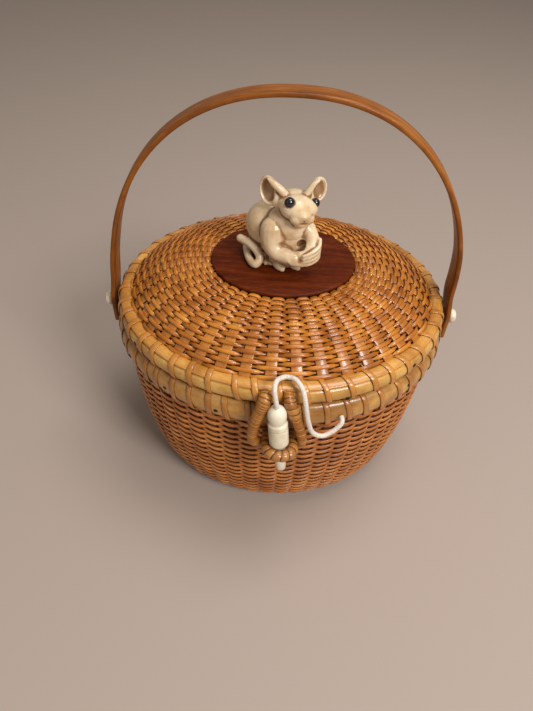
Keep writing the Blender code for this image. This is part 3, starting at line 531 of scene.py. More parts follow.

# %% [markdown]
# ## The basket's own shades
# Old varnish makes the lid's cane orange, the wall's redder and the hoops' straw-coloured.
# One finish for all would be quicker, but the photograph shows that each had its own cane,
# so each gets its own shades, from dark through middle to light.

# %% Shades of the cane
# Each cane's dark edge colour is gathered varnish and painted shade along its edges.
lid_cane = cane_finish(
    "lid_cane",
    ((0.27, 0.072, 0.006), (0.47, 0.150, 0.014), (0.68, 0.265, 0.034)),
    edge_stain_and_shade=(0.14, 0.030, 0.003), roughness=0.34, coat=0.3, edge_stain_and_shade_amount=0.7, shine=0.36,
)
stave_cane = cane_finish(
    "stave_cane",
    ((0.32, 0.095, 0.010), (0.50, 0.175, 0.022), (0.66, 0.27, 0.042)),
    edge_stain_and_shade=(0.20, 0.055, 0.007), roughness=0.36, coat=0.3, edge_stain_and_shade_amount=0.35,
)
body_cane = cane_finish(
    "body_cane",
    ((0.33, 0.096, 0.014), (0.54, 0.180, 0.030), (0.74, 0.290, 0.060)),
    edge_stain_and_shade=(0.14, 0.034, 0.006), roughness=0.42, coat=0.2, edge_stain_and_shade_amount=0.5,
)
body_stave_cane = cane_finish(
    "body_stave_cane",
    ((0.11, 0.030, 0.006), (0.18, 0.053, 0.011), (0.28, 0.09, 0.022)),
    edge_stain_and_shade=(0.07, 0.02, 0.005), roughness=0.5, coat=0.1, edge_stain_and_shade_amount=0.55,
)
lower_rim_cane = cane_finish(
    "lower_rim_cane",
    ((0.42, 0.19, 0.036), (0.60, 0.315, 0.068), (0.78, 0.46, 0.125)),
    edge_stain_and_shade=(0.44, 0.20, 0.036), roughness=0.36, coat=0.35, edge_stain_and_shade_amount=0.2,
)
upper_rim_cane = cane_finish(
    "upper_rim_cane",
    ((0.40, 0.150, 0.022), (0.58, 0.255, 0.046), (0.76, 0.39, 0.090)),
    edge_stain_and_shade=(0.36, 0.12, 0.016), roughness=0.34, coat=0.35, edge_stain_and_shade_amount=0.2,
)
body_rim_cane = cane_finish(
    "body_rim_cane",
    ((0.30, 0.125, 0.024), (0.50, 0.24, 0.052), (0.72, 0.41, 0.115)),
    edge_stain_and_shade=(0.24, 0.09, 0.016), roughness=0.34, coat=0.4, edge_stain_and_shade_amount=0.3,
)
# The lashings' strong dark edges are painted shade beside each strip, over a little gathered varnish.
lash_cane = cane_finish(
    "lash_cane",
    ((0.40, 0.150, 0.022), (0.58, 0.24, 0.042), (0.74, 0.35, 0.075)),
    edge_stain_and_shade=(0.17, 0.045, 0.007), roughness=0.33, coat=0.4, edge_stain_and_shade_amount=0.9,
)
body_lash_cane = cane_finish(
    "body_lash_cane",
    ((0.34, 0.120, 0.020), (0.50, 0.20, 0.040), (0.64, 0.30, 0.07)),
    edge_stain_and_shade=(0.14, 0.038, 0.006), roughness=0.36, coat=0.35, edge_stain_and_shade_amount=0.9,
)
hasp_binding = binding_finish(
    "hasp_binding", (0.29, 0.098, 0.012), (0.54, 0.215, 0.032), line=(0.10, 0.028, 0.004), line_width=0.17
)
ring_binding = binding_finish(
    "ring_binding", (0.26, 0.090, 0.015), (0.45, 0.185, 0.038), line=(0.05, 0.014, 0.003), line_width=0.11
)
plate_wood = wood_finish(
    "plate_wood",
    ((0.055, 0.0075, 0.0005), (0.098, 0.0135, 0.0008), (0.155, 0.027, 0.003)),
    grain=(220.0, 1600.0, 900.0), roughness=0.5, coat=0.0, shine=0.13,
)
handle_wood = wood_finish(
    "handle_wood",
    ((0.115, 0.032, 0.004), (0.25, 0.075, 0.010), (0.40, 0.145, 0.024)),
    grain=(70.0, 900.0, 70.0), roughness=0.42, coat=0.06, shine=0.2,
)
base_wood = wood_finish(
    "base_wood",
    ((0.14, 0.050, 0.014), (0.24, 0.10, 0.030), (0.36, 0.165, 0.055)),
    grain=(30.0, 500.0, 500.0), roughness=0.45, coat=0.15,
)
print("finishes:", len(bpy.data.materials))

# %% [markdown]
# ## The wall's surface
# The wall rises from a flat oval foot, rounds a tight corner and swells gently to the rim.
# One profile is enough, because every level is an oval with the same inset. It is measured
# from the middle of the base to the rim, so rounds of cane can be spaced evenly on it.

# %% The wall's surface
WALL_STAVES = 55
WALL_PROFILE = (
    (0.0560, 0.0021), (0.0722, 0.0019), (0.0786, 0.0029), (0.0843, 0.0077), (0.0884, 0.0163),
    (0.0931, 0.0372), (0.0968, 0.0662), (0.0986, 0.0966), (0.0981, 0.1060), (0.0980, 0.1218),
)
FOOT_TOP_HEIGHT, WEAVE_TOP_HEIGHT = 0.0050, 0.1068
wall_line = profile_line(WALL_PROFILE)


def share_below(height):
    """Share of the wall's profile that lies under a height."""
    reached, line = wall_line
    return max(far for far, spot in zip(reached, line) if spot.z < height) / reached[-1]


FOOT_SHARE, WEAVE_TOP_SHARE = share_below(FOOT_TOP_HEIGHT), share_below(WEAVE_TOP_HEIGHT)


def wall_frame(share, turn):
    """Place, upward and outward directions on the wall's middle surface."""
    spot, rise = place_on(wall_line, share)
    level = rim_outward(spot.x, turn)
    outward = (level * rise.z - Vector((0, 0, rise.x))).normalized()
    upward = (level * rise.x + Vector((0, 0, rise.z))).normalized()
    return rim_spot(spot.x, turn, spot.z), upward, outward


def wall_side(share, turn):
    """The part of the wall above its rounded foot."""
    return wall_frame(FOOT_SHARE + (WEAVE_TOP_SHARE - FOOT_SHARE) * share, turn)


def wall_foot(share, turn):
    """The rounded foot and the flat part under the basket."""
    return wall_frame(FOOT_SHARE * share, turn)


print("wall arc", round(wall_line[0][-1], 4), "m")

# %% [markdown]
# ## Weavers and staves
# One long cane weaver spirals up the wall, over one stave and under the next. With an odd
# number of staves each round comes out opposite the one below, which makes the bond of a
# real basket. Single strands could be laid one by one, but a wave along one spiral does the
# same in one mesh, and squeezing it where it dives leaves the small dark holes beside staves.


# %% Weavers and staves
def over_under(phase):
    """A wave that is out over one stave and in under the next."""
    wave = math.cos(math.pi * phase)
    return wave * (1.28 - 0.28 * wave * wave)


def weave(
    name, surface, staves, rows, finish, body, replaced=(), *,
    steps, width_at, swing, thick, crowding, narrow, flatness, blunt=1.0,
):
    """One spiral weaver of many rounds, squeezed narrower where it dives under a stave."""
    count = rows * staves * steps
    shape = bmesh.new()

    @functools.lru_cache(maxsize=None)
    def strand(index):
        rounds = index / (staves * steps)
        share = (rounds + 0.5) / (rows + 1)
        spot, upward, outward = surface(share, even_turn(rounds % 1.0, crowding))
        wave = blunted(over_under(index / steps), blunt)
        squeeze = narrow * (1 - clamped((wave + 0.75) / 0.75))
        width = width_at(share) * (1 - squeeze)
        return spot + outward * swing * wave, upward * width / 2, outward * thick / 2

    def rule(u, v):
        centre, half_width, half_thick = strand(round(u * count))
        turn = 2 * math.pi * v
        return centre + half_width * blunted(math.cos(turn), flatness) + half_thick * math.sin(turn)

    add_grid(shape, count, 8, rule, rows * MEAN_ROUND_LENGTH)
    finish_piece(name, shape, finish, body, replaced)


def upright_staves(name, surface, staves, finish, body, *, steps, width_at, crowding, low=0.0):
    """Flat staves running up a surface."""
    shape = bmesh.new()
    for stave in range(staves):
        turn = even_turn(stave / staves, crowding)

        def rule(u, v):
            share = low + (1.0 - low) * u
            spot, upward, outward = surface(share, turn)
            around = 2 * math.pi * v
            across = blunted(math.cos(around), STRIP_SQUARENESS) * width_at(share) / 2
            return spot + upward.cross(outward) * across + outward * (STAVE_THICK / 2) * math.sin(around)

        add_grid(shape, steps, 8, rule, 0.12)
    finish_piece(name, shape, finish, body)


MEAN_ROUND_LENGTH, STAVE_THICK, STRIP_SQUARENESS = 0.57, 0.0009, 0.6
WALL_CROWDING = -0.012
weave(
    "wall_weave", wall_side, WALL_STAVES, 36, body_cane, "basket", ["basket_wall"], steps=6,
    width_at=lambda share: 0.00300, swing=0.00110, thick=0.00125,
    crowding=WALL_CROWDING, narrow=0.3, flatness=0.85,
)
weave(
    "foot_weave", wall_foot, WALL_STAVES, 11, body_cane, "basket", steps=5,
    width_at=lambda share: 0.0026, swing=0.00085, thick=0.0011,
    crowding=WALL_CROWDING, narrow=0.16, flatness=0.85,
)
upright_staves(
    "wall_staves", wall_frame, WALL_STAVES, body_stave_cane, "basket",
    steps=26, width_at=lambda share: 0.0030 + 0.0030 * share, crowding=WALL_CROWDING,
)

# %% [markdown]
# ## The woven lid
# The lid is woven the same way over fewer and wider staves that spread from the oval plate.
# A flat woven texture would lose its low dome, so the same spiral runs over a dome. Its cane
# is flatter, and the strands pass each other bluntly, like laid bricks. The first round
# starts under the hoop, so no gap opens where the spiral begins.

# %% Lid weave
LID_STAVES, LID_ROWS, LID_CROWDING = 43, 23, -0.03
DOME_BOTTOM, DOME_RISE, DOME_POWER = 0.1355, 0.0199, 2.2
DOME_HALF_LENGTH, DOME_HALF_WIDTH = 0.0935, 0.0795
PLATE_HOLE_HALF_LENGTH, PLATE_HOLE_HALF_WIDTH = 0.0446, 0.0365


def lid_spot(share, turn):
    """A point of the dome, from the rim at 0 to the plate at 1."""
    half_length = DOME_HALF_LENGTH + (PLATE_HOLE_HALF_LENGTH - DOME_HALF_LENGTH) * share
    half_width = DOME_HALF_WIDTH + (PLATE_HOLE_HALF_WIDTH - DOME_HALF_WIDTH) * share
    height = DOME_BOTTOM + DOME_RISE * (1 - (1 - min(share, 1.0)) ** DOME_POWER)
    return oval_spot(half_length, half_width, turn, height)


def lid_frame(share, turn):
    """Place, inward and outward directions on the dome, from under the hoop to the plate."""
    inward = 1.054 * share - 0.0364
    upward = (lid_spot(inward + 0.01, turn) - lid_spot(inward - 0.01, turn)).normalized()
    side = lid_spot(inward, turn + 0.01) - lid_spot(inward, turn - 0.01)
    return lid_spot(inward, turn), upward, side.cross(upward).normalized()


weave(
    "lid_weave", lid_frame, LID_STAVES, LID_ROWS, lid_cane, "lid", ["lid_shell"], steps=8,
    width_at=lambda share: 0.00246 - 0.00008 * share, swing=0.00115, thick=0.00095,
    crowding=LID_CROWDING, narrow=0.45, flatness=0.5, blunt=0.5,
)
upright_staves(
    "lid_staves", lid_frame, LID_STAVES, stave_cane, "lid",
    steps=14, width_at=lambda share: 0.0070 - 0.0023 * share, crowding=LID_CROWDING, low=0.01,
)

# %% [markdown]
# ## Hoops
# The rims are bent half-round hoops. A section of a few points is swept round the oval, as a
# plane would shape a lath. The lid's outer rim is two hoops, an orange one over a paler one,
# because the photograph shows a line between them.


# %% Hoops
def hoop(name, section, finish, body, replaced=()):
    """A closed hoop with a smooth section of half-length and height points."""
    outline = profile_line(section, True, 6)
    shape = bmesh.new()

    def rule(u, v):
        spot = place_on(outline, v % 1.0)[0]
        return rim_spot(spot.x, even_turn(u % 1.0), spot.z)

    add_grid(shape, 240, 18, rule, 0.6, True)
    finish_piece(name, shape, finish, body, replaced)


hoop(
    "lid_rim_lower",
    (
        (0.0966, 0.1253), (0.0992, 0.1250), (0.1011, 0.1256), (0.1019, 0.1276), (0.1020, 0.1303),
        (0.1014, 0.1326), (0.1003, 0.1339), (0.0985, 0.1343), (0.0966, 0.1341),
    ),
    lower_rim_cane, "lid", ["lid_rim_outer"],
)
hoop(
    "lid_rim_upper",
    (
        (0.0934, 0.1342), (0.0965, 0.1343), (0.0990, 0.1342), (0.1003, 0.1343), (0.1003, 0.1350),
        (0.0990, 0.1358), (0.0968, 0.1363), (0.0944, 0.1361), (0.0932, 0.1352),
    ),
    upper_rim_cane, "lid",
)
hoop(
    "lid_rim_inside",
    (
        (0.0929, 0.1243), (0.0929, 0.1325), (0.0918, 0.1336), (0.0900, 0.1334),
        (0.0889, 0.1314), (0.0887, 0.1284), (0.0892, 0.1252), (0.0908, 0.1241),
    ),
    lower_rim_cane, "lid", ["lid_rim_inner"],
)
hoop(
    "body_rim_outside",
    (
        (0.0984, 0.1080), (0.1004, 0.1077), (0.1024, 0.1088), (0.1036, 0.1115),
        (0.1037, 0.1155), (0.1028, 0.1194), (0.1008, 0.1219), (0.0984, 0.1222),
    ),
    body_rim_cane, "basket", ["body_rim_outer"],
)
hoop(
    "body_rim_inside",
    (
        (0.0950, 0.1092), (0.0950, 0.1226), (0.0930, 0.1230), (0.0912, 0.1216),
        (0.0907, 0.1160), (0.0910, 0.1110), (0.0922, 0.1092),
    ),
    body_rim_cane, "basket", ["body_rim_inner"],
)

# %% [markdown]
# ## Lashings
# A flat cane strip binds each pair of hoops between the staves. Each turn crosses the rim
# nearly square, leaning a little, so one strip is bent round the rim and repeated. Copies of
# one object would look too even, so place, lean and width differ slightly from turn to turn.

# %% Lashings
LASHING_HALF_THICK = 0.00026


def lashings(name, path, count, width, lean, phase, finish, body, seed):
    """Flat strips over a rim, along a path of half-length and height points."""
    chance = random.Random(seed)
    measured = profile_line(path, False, 8)
    shape = bmesh.new()
    for number in range(count):
        start = (number + phase + chance.uniform(-0.11, 0.11)) / count
        slant = lean * chance.uniform(0.7, 1.3)
        wide = width * chance.uniform(0.9, 1.1)

        def rule(u, v):
            spot, ahead = place_on(measured, u)
            turn = even_turn((start + slant * u / (2 * math.pi * spot.x)) % 1.0)
            outward = rim_outward(spot.x, turn)
            side = outward.cross(Vector((0, 0, 1)))
            lift = (outward * -ahead.z + Vector((0, 0, ahead.x))).normalized()
            around = 2 * math.pi * v
            across = blunted(math.cos(around), STRIP_SQUARENESS) * wide / 2
            centre = rim_spot(spot.x, turn, spot.z)
            return centre + side * across + lift * LASHING_HALF_THICK * math.sin(around)

        add_grid(shape, 22, 8, rule, 0.03)
    finish_piece(name, shape, finish, body)


LID_LASHINGS, BODY_LASHINGS = 46, 53
lashings(
    "lid_lashings",
    (
        (0.0927, 0.1345), (0.0934, 0.1362), (0.0950, 0.1366), (0.0970, 0.1367), (0.0992, 0.1362),
        (0.1008, 0.1351), (0.1018, 0.1333), (0.1024, 0.1303), (0.1023, 0.1275), (0.1013, 0.1252),
        (0.0990, 0.1246), (0.0960, 0.1246),
    ),
    LID_LASHINGS, 0.0036, 0.0055, 0.5, lash_cane, "lid", seed=5,
)
lashings(
    "body_lashings",
    (
        (0.0964, 0.1226), (0.0984, 0.1229), (0.1010, 0.1225), (0.1031, 0.1200), (0.1040, 0.1160),
        (0.1041, 0.1120), (0.1035, 0.1085), (0.1015, 0.1072), (0.0994, 0.1073),
    ),
    BODY_LASHINGS, 0.0034, 0.004, 0.2, body_lash_cane, "basket", seed=8,
)
lashings(
    "inner_lashings",
    (
        (0.0962, 0.1228), (0.0940, 0.1234), (0.0916, 0.1228), (0.0903, 0.1200),
        (0.0902, 0.1150), (0.0905, 0.1105), (0.0922, 0.1087), (0.0945, 0.1088),
    ),
    BODY_LASHINGS, 0.0034, 0.004, 0.2, body_lash_cane, "basket", seed=9,
)
lashings(
    "lid_inner_lashings",
    (
        (0.0955, 0.1244), (0.0930, 0.1237), (0.0902, 0.1238), (0.0887, 0.1252),
        (0.0882, 0.1288), (0.0885, 0.1318), (0.0900, 0.1341),
    ),
    LID_LASHINGS, 0.0034, 0.004, 0.5, lash_cane, "lid", seed=12,
)

# %% [markdown]
# ## Nails
# Small dark nails hold the hoops where their ends overlap and between some of the lashings.
# A painted dot would vanish from the side, so each is a flattened ball pressed into the face
# of a rim. Those seen in the photograph stand where it shows them.

# %% Nails
NAIL_RADIUS = 0.0015
nail_metal, nail_tree, nail_shader = start_finish("nail_metal", 0.5)
nail_shader.inputs["Metallic"].default_value = 0.6
nail_shades = ((0.4, (0.015, 0.009, 0.006)), (0.7, (0.05, 0.032, 0.02)))
colour_by(nail_tree, nail_shader, tones(nail_tree, speckle(nail_tree, 900.0, 2.0), nail_shades))


def nails(name, half_length, places, body):
    """Nail heads at angles in degrees and heights on a rim."""
    shape = bmesh.new()
    for degrees, height in places:
        turn = math.radians(degrees)
        facing = rim_outward(half_length, turn).to_track_quat("Z", "Y").to_matrix().to_4x4()
        centre = Matrix.Translation(rim_spot(half_length, turn, height))
        flattened = centre @ facing @ Matrix.Diagonal((1.0, 0.85, 0.3, 1.0))
        bmesh.ops.create_uvsphere(shape, u_segments=16, v_segments=8, radius=NAIL_RADIUS, matrix=flattened)
    finish_piece(name, shape, nail_metal, body)


nails(
    "body_rim_nails", 0.1036,
    (
        (-149.8, 0.1120), (-128.0, 0.1140), (-108.6, 0.1138), (-60.7, 0.1144), (-42.1, 0.1165),
        (35.0, 0.1145), (70.0, 0.1145), (110.0, 0.1145), (145.0, 0.1145),
    ),
    "basket",
)
nails(
    "lid_rim_nails", 0.1020,
    ((-144.2, 0.1292), (-67.7, 0.1262), (-40.8, 0.1300), (60.0, 0.1290), (120.0, 0.1290)),
    "lid",
)

# %% [markdown]
# ## The plate
# The lid closes in an oval of dark, polished wood with softly rounded edges. A cylinder with
# a bevel would do, but the same grid rolled through a few levels keeps the oval exact.

# %% Plate
PLUG_HALF_LENGTH, PLUG_HALF_WIDTH = 0.0402, 0.0321
PLATE_HALF_LENGTH, PLATE_HALF_WIDTH, PLATE_MIDDLE, PLATE_HALF_THICK = 0.0425, 0.0344, 0.15651, 0.00130
PLATE_EDGE = 0.0010
plate_levels = [(PLUG_HALF_LENGTH, PLUG_HALF_WIDTH, height) for height in (0.1508, 0.1550)]
for step in range(9):
    lean = math.pi * step / 8 - math.pi / 2
    swell = PLATE_EDGE * math.cos(lean)
    height = PLATE_MIDDLE + PLATE_HALF_THICK * math.sin(lean)
    plate_levels.append((PLATE_HALF_LENGTH + swell, PLATE_HALF_WIDTH + swell, height))


def plate_rule(u, v):
    """A point of the plate's skin, from its underside over the edge to the top."""
    half_length, half_width, height = plate_levels[round(v * (len(plate_levels) - 1))]
    return oval_spot(half_length, half_width, 2 * math.pi * u, height)


plate_shape = bmesh.new()
add_grid(plate_shape, 160, len(plate_levels) - 1, plate_rule, 0.25)
finish_piece("oval_plate", plate_shape, plate_wood, "lid", ["lid_plate", "mouse_dowel"])

# %% [markdown]
# ## The handle
# The handle is one bent strip of wood, wider at its feet, with eased edges. Its legs lean
# out over the rim to reach the washers. It could be a bevelled curve, but the strip's width,
# thickness and lean all change along it, so a rule carries a rounded rectangle along the arch.

# %% Handle
HANDLE_HALF_WIDTH, HANDLE_SPRING, HANDLE_RISE, HANDLE_POWER = 0.1064, 0.1280, 0.1285, 2.2
HANDLE_FOOT, FOOT_CORNER = 0.1046, 0.0022
LEG_WIDTH, TOP_WIDTH, LEG_THICK, TOP_THINNER = 0.0160, 0.0118, 0.0035, 0.0005
LEG_LEAN, LEAN_FROM, LEAN_SPAN = 0.0024, 0.1200, 0.022
ARCH_SHIFT, SHIFT_FROM, SHIFT_SPAN = 0.0014, 0.1380, 0.030


def leaned(across, height):
    """A place on the outer face: legs lean out at the washers, the arch stands to the right."""
    part = clamped((height - LEAN_FROM) / LEAN_SPAN)
    lean = LEG_LEAN * (1 - part * part * (3 - 2 * part))
    shift = ARCH_SHIFT * clamped((height - SHIFT_FROM) / SHIFT_SPAN)
    return Vector((across * HANDLE_HALF_WIDTH + math.copysign(lean, across) + shift, 0.0, height))


def arch_spot(turn):
    """Outer face of the handle's arch."""
    across = blunted(math.cos(turn), 2 / HANDLE_POWER)
    up = max(math.sin(turn), 0.0) ** (2 / HANDLE_POWER)
    return leaned(across, HANDLE_SPRING + up * HANDLE_RISE)


leg = [leaned(1.0, HANDLE_FOOT + (HANDLE_SPRING - HANDLE_FOOT) * step / 12) for step in range(12)]
arch = [arch_spot(math.pi * step / 120) for step in range(121)]
other_leg = [leaned(-1.0, spot.z) for spot in reversed(leg)]
handle_line = measure(leg + arch + other_leg)
handle_length = handle_line[0][-1]


def handle_rule(u, v):
    """A rounded rectangle carried along the arch, with the corners of its feet eased."""
    spot, ahead = place_on(handle_line, u)
    inward = Vector((-ahead.z, 0.0, ahead.x))
    rise = clamped((spot.z - HANDLE_SPRING) / HANDLE_RISE)
    width = LEG_WIDTH + (TOP_WIDTH - LEG_WIDTH) * rise**1.5
    foot = min(u, 1 - u) * handle_length
    if foot < FOOT_CORNER:
        width -= 2 * FOOT_CORNER * (1 - math.sqrt(1 - (1 - foot / FOOT_CORNER) ** 2))
    thick = LEG_THICK - TOP_THINNER * rise
    around = 2 * math.pi * v
    across = blunted(math.cos(around), 0.35) * width / 2
    deep = blunted(math.sin(around), 0.5) * thick / 2
    return spot + Vector((0, across, 0)) + inward * (thick / 2 - deep)


handle_shape = bmesh.new()
add_grid(handle_shape, 260, 24, handle_rule, handle_length)
finish_piece("bent_handle", handle_shape, handle_wood, "handle", ["handle_bow"])

# %% [markdown]
# ## Wound tubes
# The latch's loop, its ring and the hinges are bound with flat cane. A separate strip could
# be coiled round a core, but the core is never seen. So the tube's radius is a shallow step
# that travels round as it goes along, and its UV map counts the turns for the binding.


# %% Wound tubes
def wound(
    name, route, pitch, finish, body, replaced=(), closed=False, *, radius_at, groove, around=20, per_wrap=7
):
    """A tube bound with a flat strip; pitch is the strip's width."""
    measured = measure(smooth_line(route, closed))
    wraps = round(measured[0][-1] / pitch)
    count = wraps * per_wrap
    frames = carried_frames(measured, count, closed)
    shape = bmesh.new()

    def rule(u, v):
        index = round(u * count)
        spot, side, up = frames[0 if closed and index == count else index]
        turn = 2 * math.pi * v
        phase = (index / per_wrap + v) % 1.0
        dip = 1 - groove * (1 - math.sin(math.pi * phase) ** 0.35)
        return spot + (side * math.cos(turn) + up * math.sin(turn)) * radius_at(u) * dip

    add_grid(shape, count, around, rule, float(wraps), closed)
    finish_piece(name, shape, finish, body, replaced)


print("wound tubes ready")

# %% [markdown]
# ## The latch's loop
# A cane loop hangs from a bar in the lid's rim and drops over the ring. Its route is given
# in shares of its own length from the bar, so it can be compared with the photograph point
# by point. The left leg is bound more thickly, and a knuckle is bound over the right leg.

# %% Latch loop
HASP_BAR, HASP_LENGTH = Vector((-0.0006, -0.0862, 0.1319)), 0.0385
CORE_RADIUS, LEG_RADIUS, LEFT_EXTRA, RIGHT_EXTRA = 0.0013, 0.0028, 0.0009, 0.0001
HASP_ROWS = (
    (0.0, 0.0, 0.0), (-0.112, -0.002, 0.030), (-0.132, -0.100, 0.034), (-0.160, -0.155, -0.060),
    (-0.262, -0.200, -0.390), (-0.300, -0.240, -0.640), (-0.280, -0.235, -0.775),
    (-0.195, -0.170, -0.880), (-0.060, -0.110, -0.965), (0.130, -0.105, -1.000),
    (0.300, -0.150, -0.935), (0.405, -0.215, -0.800), (0.415, -0.235, -0.650),
    (0.350, -0.205, -0.400), (0.255, -0.180, -0.130), (0.196, -0.110, 0.026), (0.160, -0.002, 0.026),
)
KNUCKLE_ROWS = (
    (0.196, -0.108, 0.024), (0.222, -0.150, -0.050), (0.262, -0.180, -0.145), (0.285, -0.190, -0.215),
)


def hung(rows):
    """Places of rows that are given in shares of the loop's length from its bar."""
    return [HASP_BAR + Vector(row) * HASP_LENGTH for row in rows]


hasp_measured = measure(smooth_line(hung(HASP_ROWS), True))


def hasp_radius(share):
    """Thin where its core lies in the rim; the left leg is bound more thickly."""
    spot = place_on(hasp_measured, share)[0] - HASP_BAR
    free = clamped((spot.length - 0.0036) / 0.0020)
    top = clamped(1 + spot.z / 0.026)
    full = LEG_RADIUS + (LEFT_EXTRA if spot.x < 0 else RIGHT_EXTRA) * top
    return CORE_RADIUS + (full - CORE_RADIUS) * free


wound(
    "hasp_loop_wound", hung(HASP_ROWS), 0.0014, hasp_binding, "hasp", ["hasp_loop"], True,
    radius_at=hasp_radius, groove=0.14, around=24, per_wrap=9,
)
wound(
    "hasp_knuckle", hung(KNUCKLE_ROWS), 0.0031, ring_binding, "hasp",
    radius_at=lambda share: 0.0034, groove=0.12, around=24, per_wrap=12,
)

# %% [markdown]
# ## The ring and the hinges
# The ring is a cane staple that stands out of the body's rim, and the peg drops through it.
# So its half circle is drawn round the peg's own axis. At the back, two short wound loops
# tie the lid's rim to the body's.

# %% Ring and hinges
PEG_BALL = Vector((0.0010, -0.0953, 0.1258))
PEG_AXIS = Vector((-0.102, 0.1765, 0.979)).normalized()
PEG_LENGTH, PEG_RADIUS = 0.045, 0.00545
RING_HALF_WIDTH, RING_REACH, RING_DROOP, RING_ROOT_Y = 0.0071, 0.0066, 0.19, -0.0854
peg_top = PEG_BALL + PEG_AXIS * 0.00515
ring_middle = peg_top - PEG_AXIS * (0.640 * PEG_LENGTH)


def ring_spot(across, y):
    """A point of the ring, which droops towards the front."""
    return Vector((ring_middle.x + across, y, ring_middle.z - RING_DROOP * (y - ring_middle.y)))


ring_route = []
for step in range(9):
    turn = math.pi * step / 8
    y = ring_middle.y - RING_REACH * math.sin(turn)
    ring_route.append(ring_spot(-RING_HALF_WIDTH * math.cos(turn), y))
for part in (0.5, 1.08):
    y = ring_middle.y + (RING_ROOT_Y - ring_middle.y) * part
    ring_route.insert(0, ring_spot(-RING_HALF_WIDTH, y))
    ring_route.append(ring_spot(RING_HALF_WIDTH, y))
wound(
    "staple_ring_wound", ring_route, 0.0037, ring_binding, "basket", ["staple_ring"],
    radius_at=lambda share: 0.0032, groove=0.24, per_wrap=14,
)

HINGE_OUT = 0.023
BODY_RIM_HALF_LENGTH, BODY_RIM_HALF_WIDTH = 0.1036, 0.0896
LID_RIM_HALF_LENGTH, LID_RIM_HALF_WIDTH = 0.1019, 0.0879
body_back = BODY_RIM_HALF_WIDTH * math.sqrt(1 - (HINGE_OUT / BODY_RIM_HALF_LENGTH) ** 2)
lid_back = LID_RIM_HALF_WIDTH * math.sqrt(1 - (HINGE_OUT / LID_RIM_HALF_LENGTH) ** 2)
for side, name in ((-1.0, "left"), (1.0, "right")):
    hinge_route = [
        Vector((side * HINGE_OUT, y, height))
        for y, height in (
            (body_back - 0.001, 0.1145), (body_back + 0.0029, 0.1153), (body_back + 0.0052, 0.1212),
            (lid_back + 0.0052, 0.1260), (lid_back + 0.0029, 0.1302), (lid_back - 0.001, 0.1310),
        )
    ]
    wound(
        "hinge_wrap_" + name, hinge_route, 0.0020, ring_binding, "basket", ["hinge_loop_" + name],
        radius_at=lambda share: 0.0016, groove=0.16,
    )

# %% [markdown]
# ## Turned pieces
# The peg and the handle's knobs are turned on a lathe from a cream material. A lathe spins
# the work against a profile, and Blender's spin does the same with a line of points, which
# is why it is used here rather than a sculpted or bevelled cylinder.


# %% Turned pieces
def ivory_finish(name, pale, deep, stain_and_shade=None, stain_and_shade_map=""):
    """Polished cream material, with brown stain and painted shade where a map says that it is carved."""
    finish, tree, shader = start_finish(name, 0.3, 0.25, 0.18)
    shader.inputs["Subsurface Weight"].default_value = 0.08
    shader.inputs["Subsurface Radius"].default_value = (0.004, 0.003, 0.002)
    shader.inputs["Subsurface Scale"].default_value = 1.0
    colour = tones(tree, speckle(tree, 90.0, 4.0), ((0.36, deep), (0.56, pale)))
    if stain_and_shade_map:
        source = tree.nodes.new("ShaderNodeAttribute")
        source.attribute_name = stain_and_shade_map
        colour = blend_colour(tree, source.outputs["Fac"], colour, stain_and_shade)
    colour_by(tree, shader, colour)
    add_bump(tree, shader, speckle(tree, 900.0, 2.0), 0.00004, 0.4)
    return finish


def turned(name, profile, start, axis, finish, body, replaced=(), steps=48):
    """Spins a profile of distance and radius about an axis."""
    shape = bmesh.new()
    to_axis = axis.to_track_quat("Z", "Y").to_matrix()
    line = smooth_line([Vector((radius, 0, along)) for along, radius in profile], False, 4)
    verts = [shape.verts.new(start + to_axis @ spot) for spot in line]
    edges = [shape.edges.new(pair) for pair in zip(verts, verts[1:])]
    bmesh.ops.spin(
        shape, geom=verts + edges, cent=start, axis=axis, angle=2 * math.pi, steps=steps, use_merge=True
    )
    bmesh.ops.holes_fill(shape, edges=[edge for edge in shape.edges if edge.is_boundary])
    finish_piece(name, shape, finish, body, replaced)


peg_ivory = ivory_finish("peg_ivory", (0.80, 0.70, 0.53), (0.66, 0.54, 0.37))
PEG_SHARES = (
    # ball, neck, grooved barrel and shank, in shares of the peg's length and radius
    (-0.026, 0.10), (-0.014, 0.42), (0.016, 0.73), (0.056, 0.90), (0.098, 0.955), (0.140, 0.945),
    (0.180, 0.88), (0.208, 0.825), (0.216, 0.84), (0.228, 0.97), (0.245, 1.0), (0.290, 1.0),
    (0.298, 0.955), (0.310, 0.955), (0.320, 1.0), (0.515, 1.0), (0.550, 0.94), (0.578, 0.78),
    (0.602, 0.58), (0.640, 0.535), (0.945, 0.520), (0.988, 0.36), (1.0, 0.12),
)
peg_profile = [(along * PEG_LENGTH, radius * PEG_RADIUS) for along, radius in PEG_SHARES]
turned("turned_peg", peg_profile, peg_top, -PEG_AXIS, peg_ivory, "peg", ["latch_peg"])
KNOB_SEAT, PIVOT_HEIGHT = 0.1091, 0.1187
KNOB_PROFILE = (
    (0.0, 0.0015), (0.0002, 0.0033), (0.0011, 0.0043), (0.0025, 0.0046),
    (0.0040, 0.0041), (0.0048, 0.0028), (0.0051, 0.0015),
)
for side, name in ((-1.0, "left"), (1.0, "right")):
    seat = Vector((side * KNOB_SEAT, 0.0, PIVOT_HEIGHT))
    outward = Vector((side, 0, 0))
    replaced = ["pivot_knob_" + name]
    turned("ivory_knob_" + name, KNOB_PROFILE, seat, outward, peg_ivory, "basket", replaced, 32)

# %% [markdown]
# ## The mouse's masses
# A carver roughs out big rounded masses first. The mouse is built the same way, as a
# modeller works in clay: eggs for body, head and ears, each in the frame of the part that it
# belongs to, so the head can be turned as one. Sculpting by hand couldn't be repeated by a script.

# %% Mouse masses
MOUSE_BASE = 0.15785


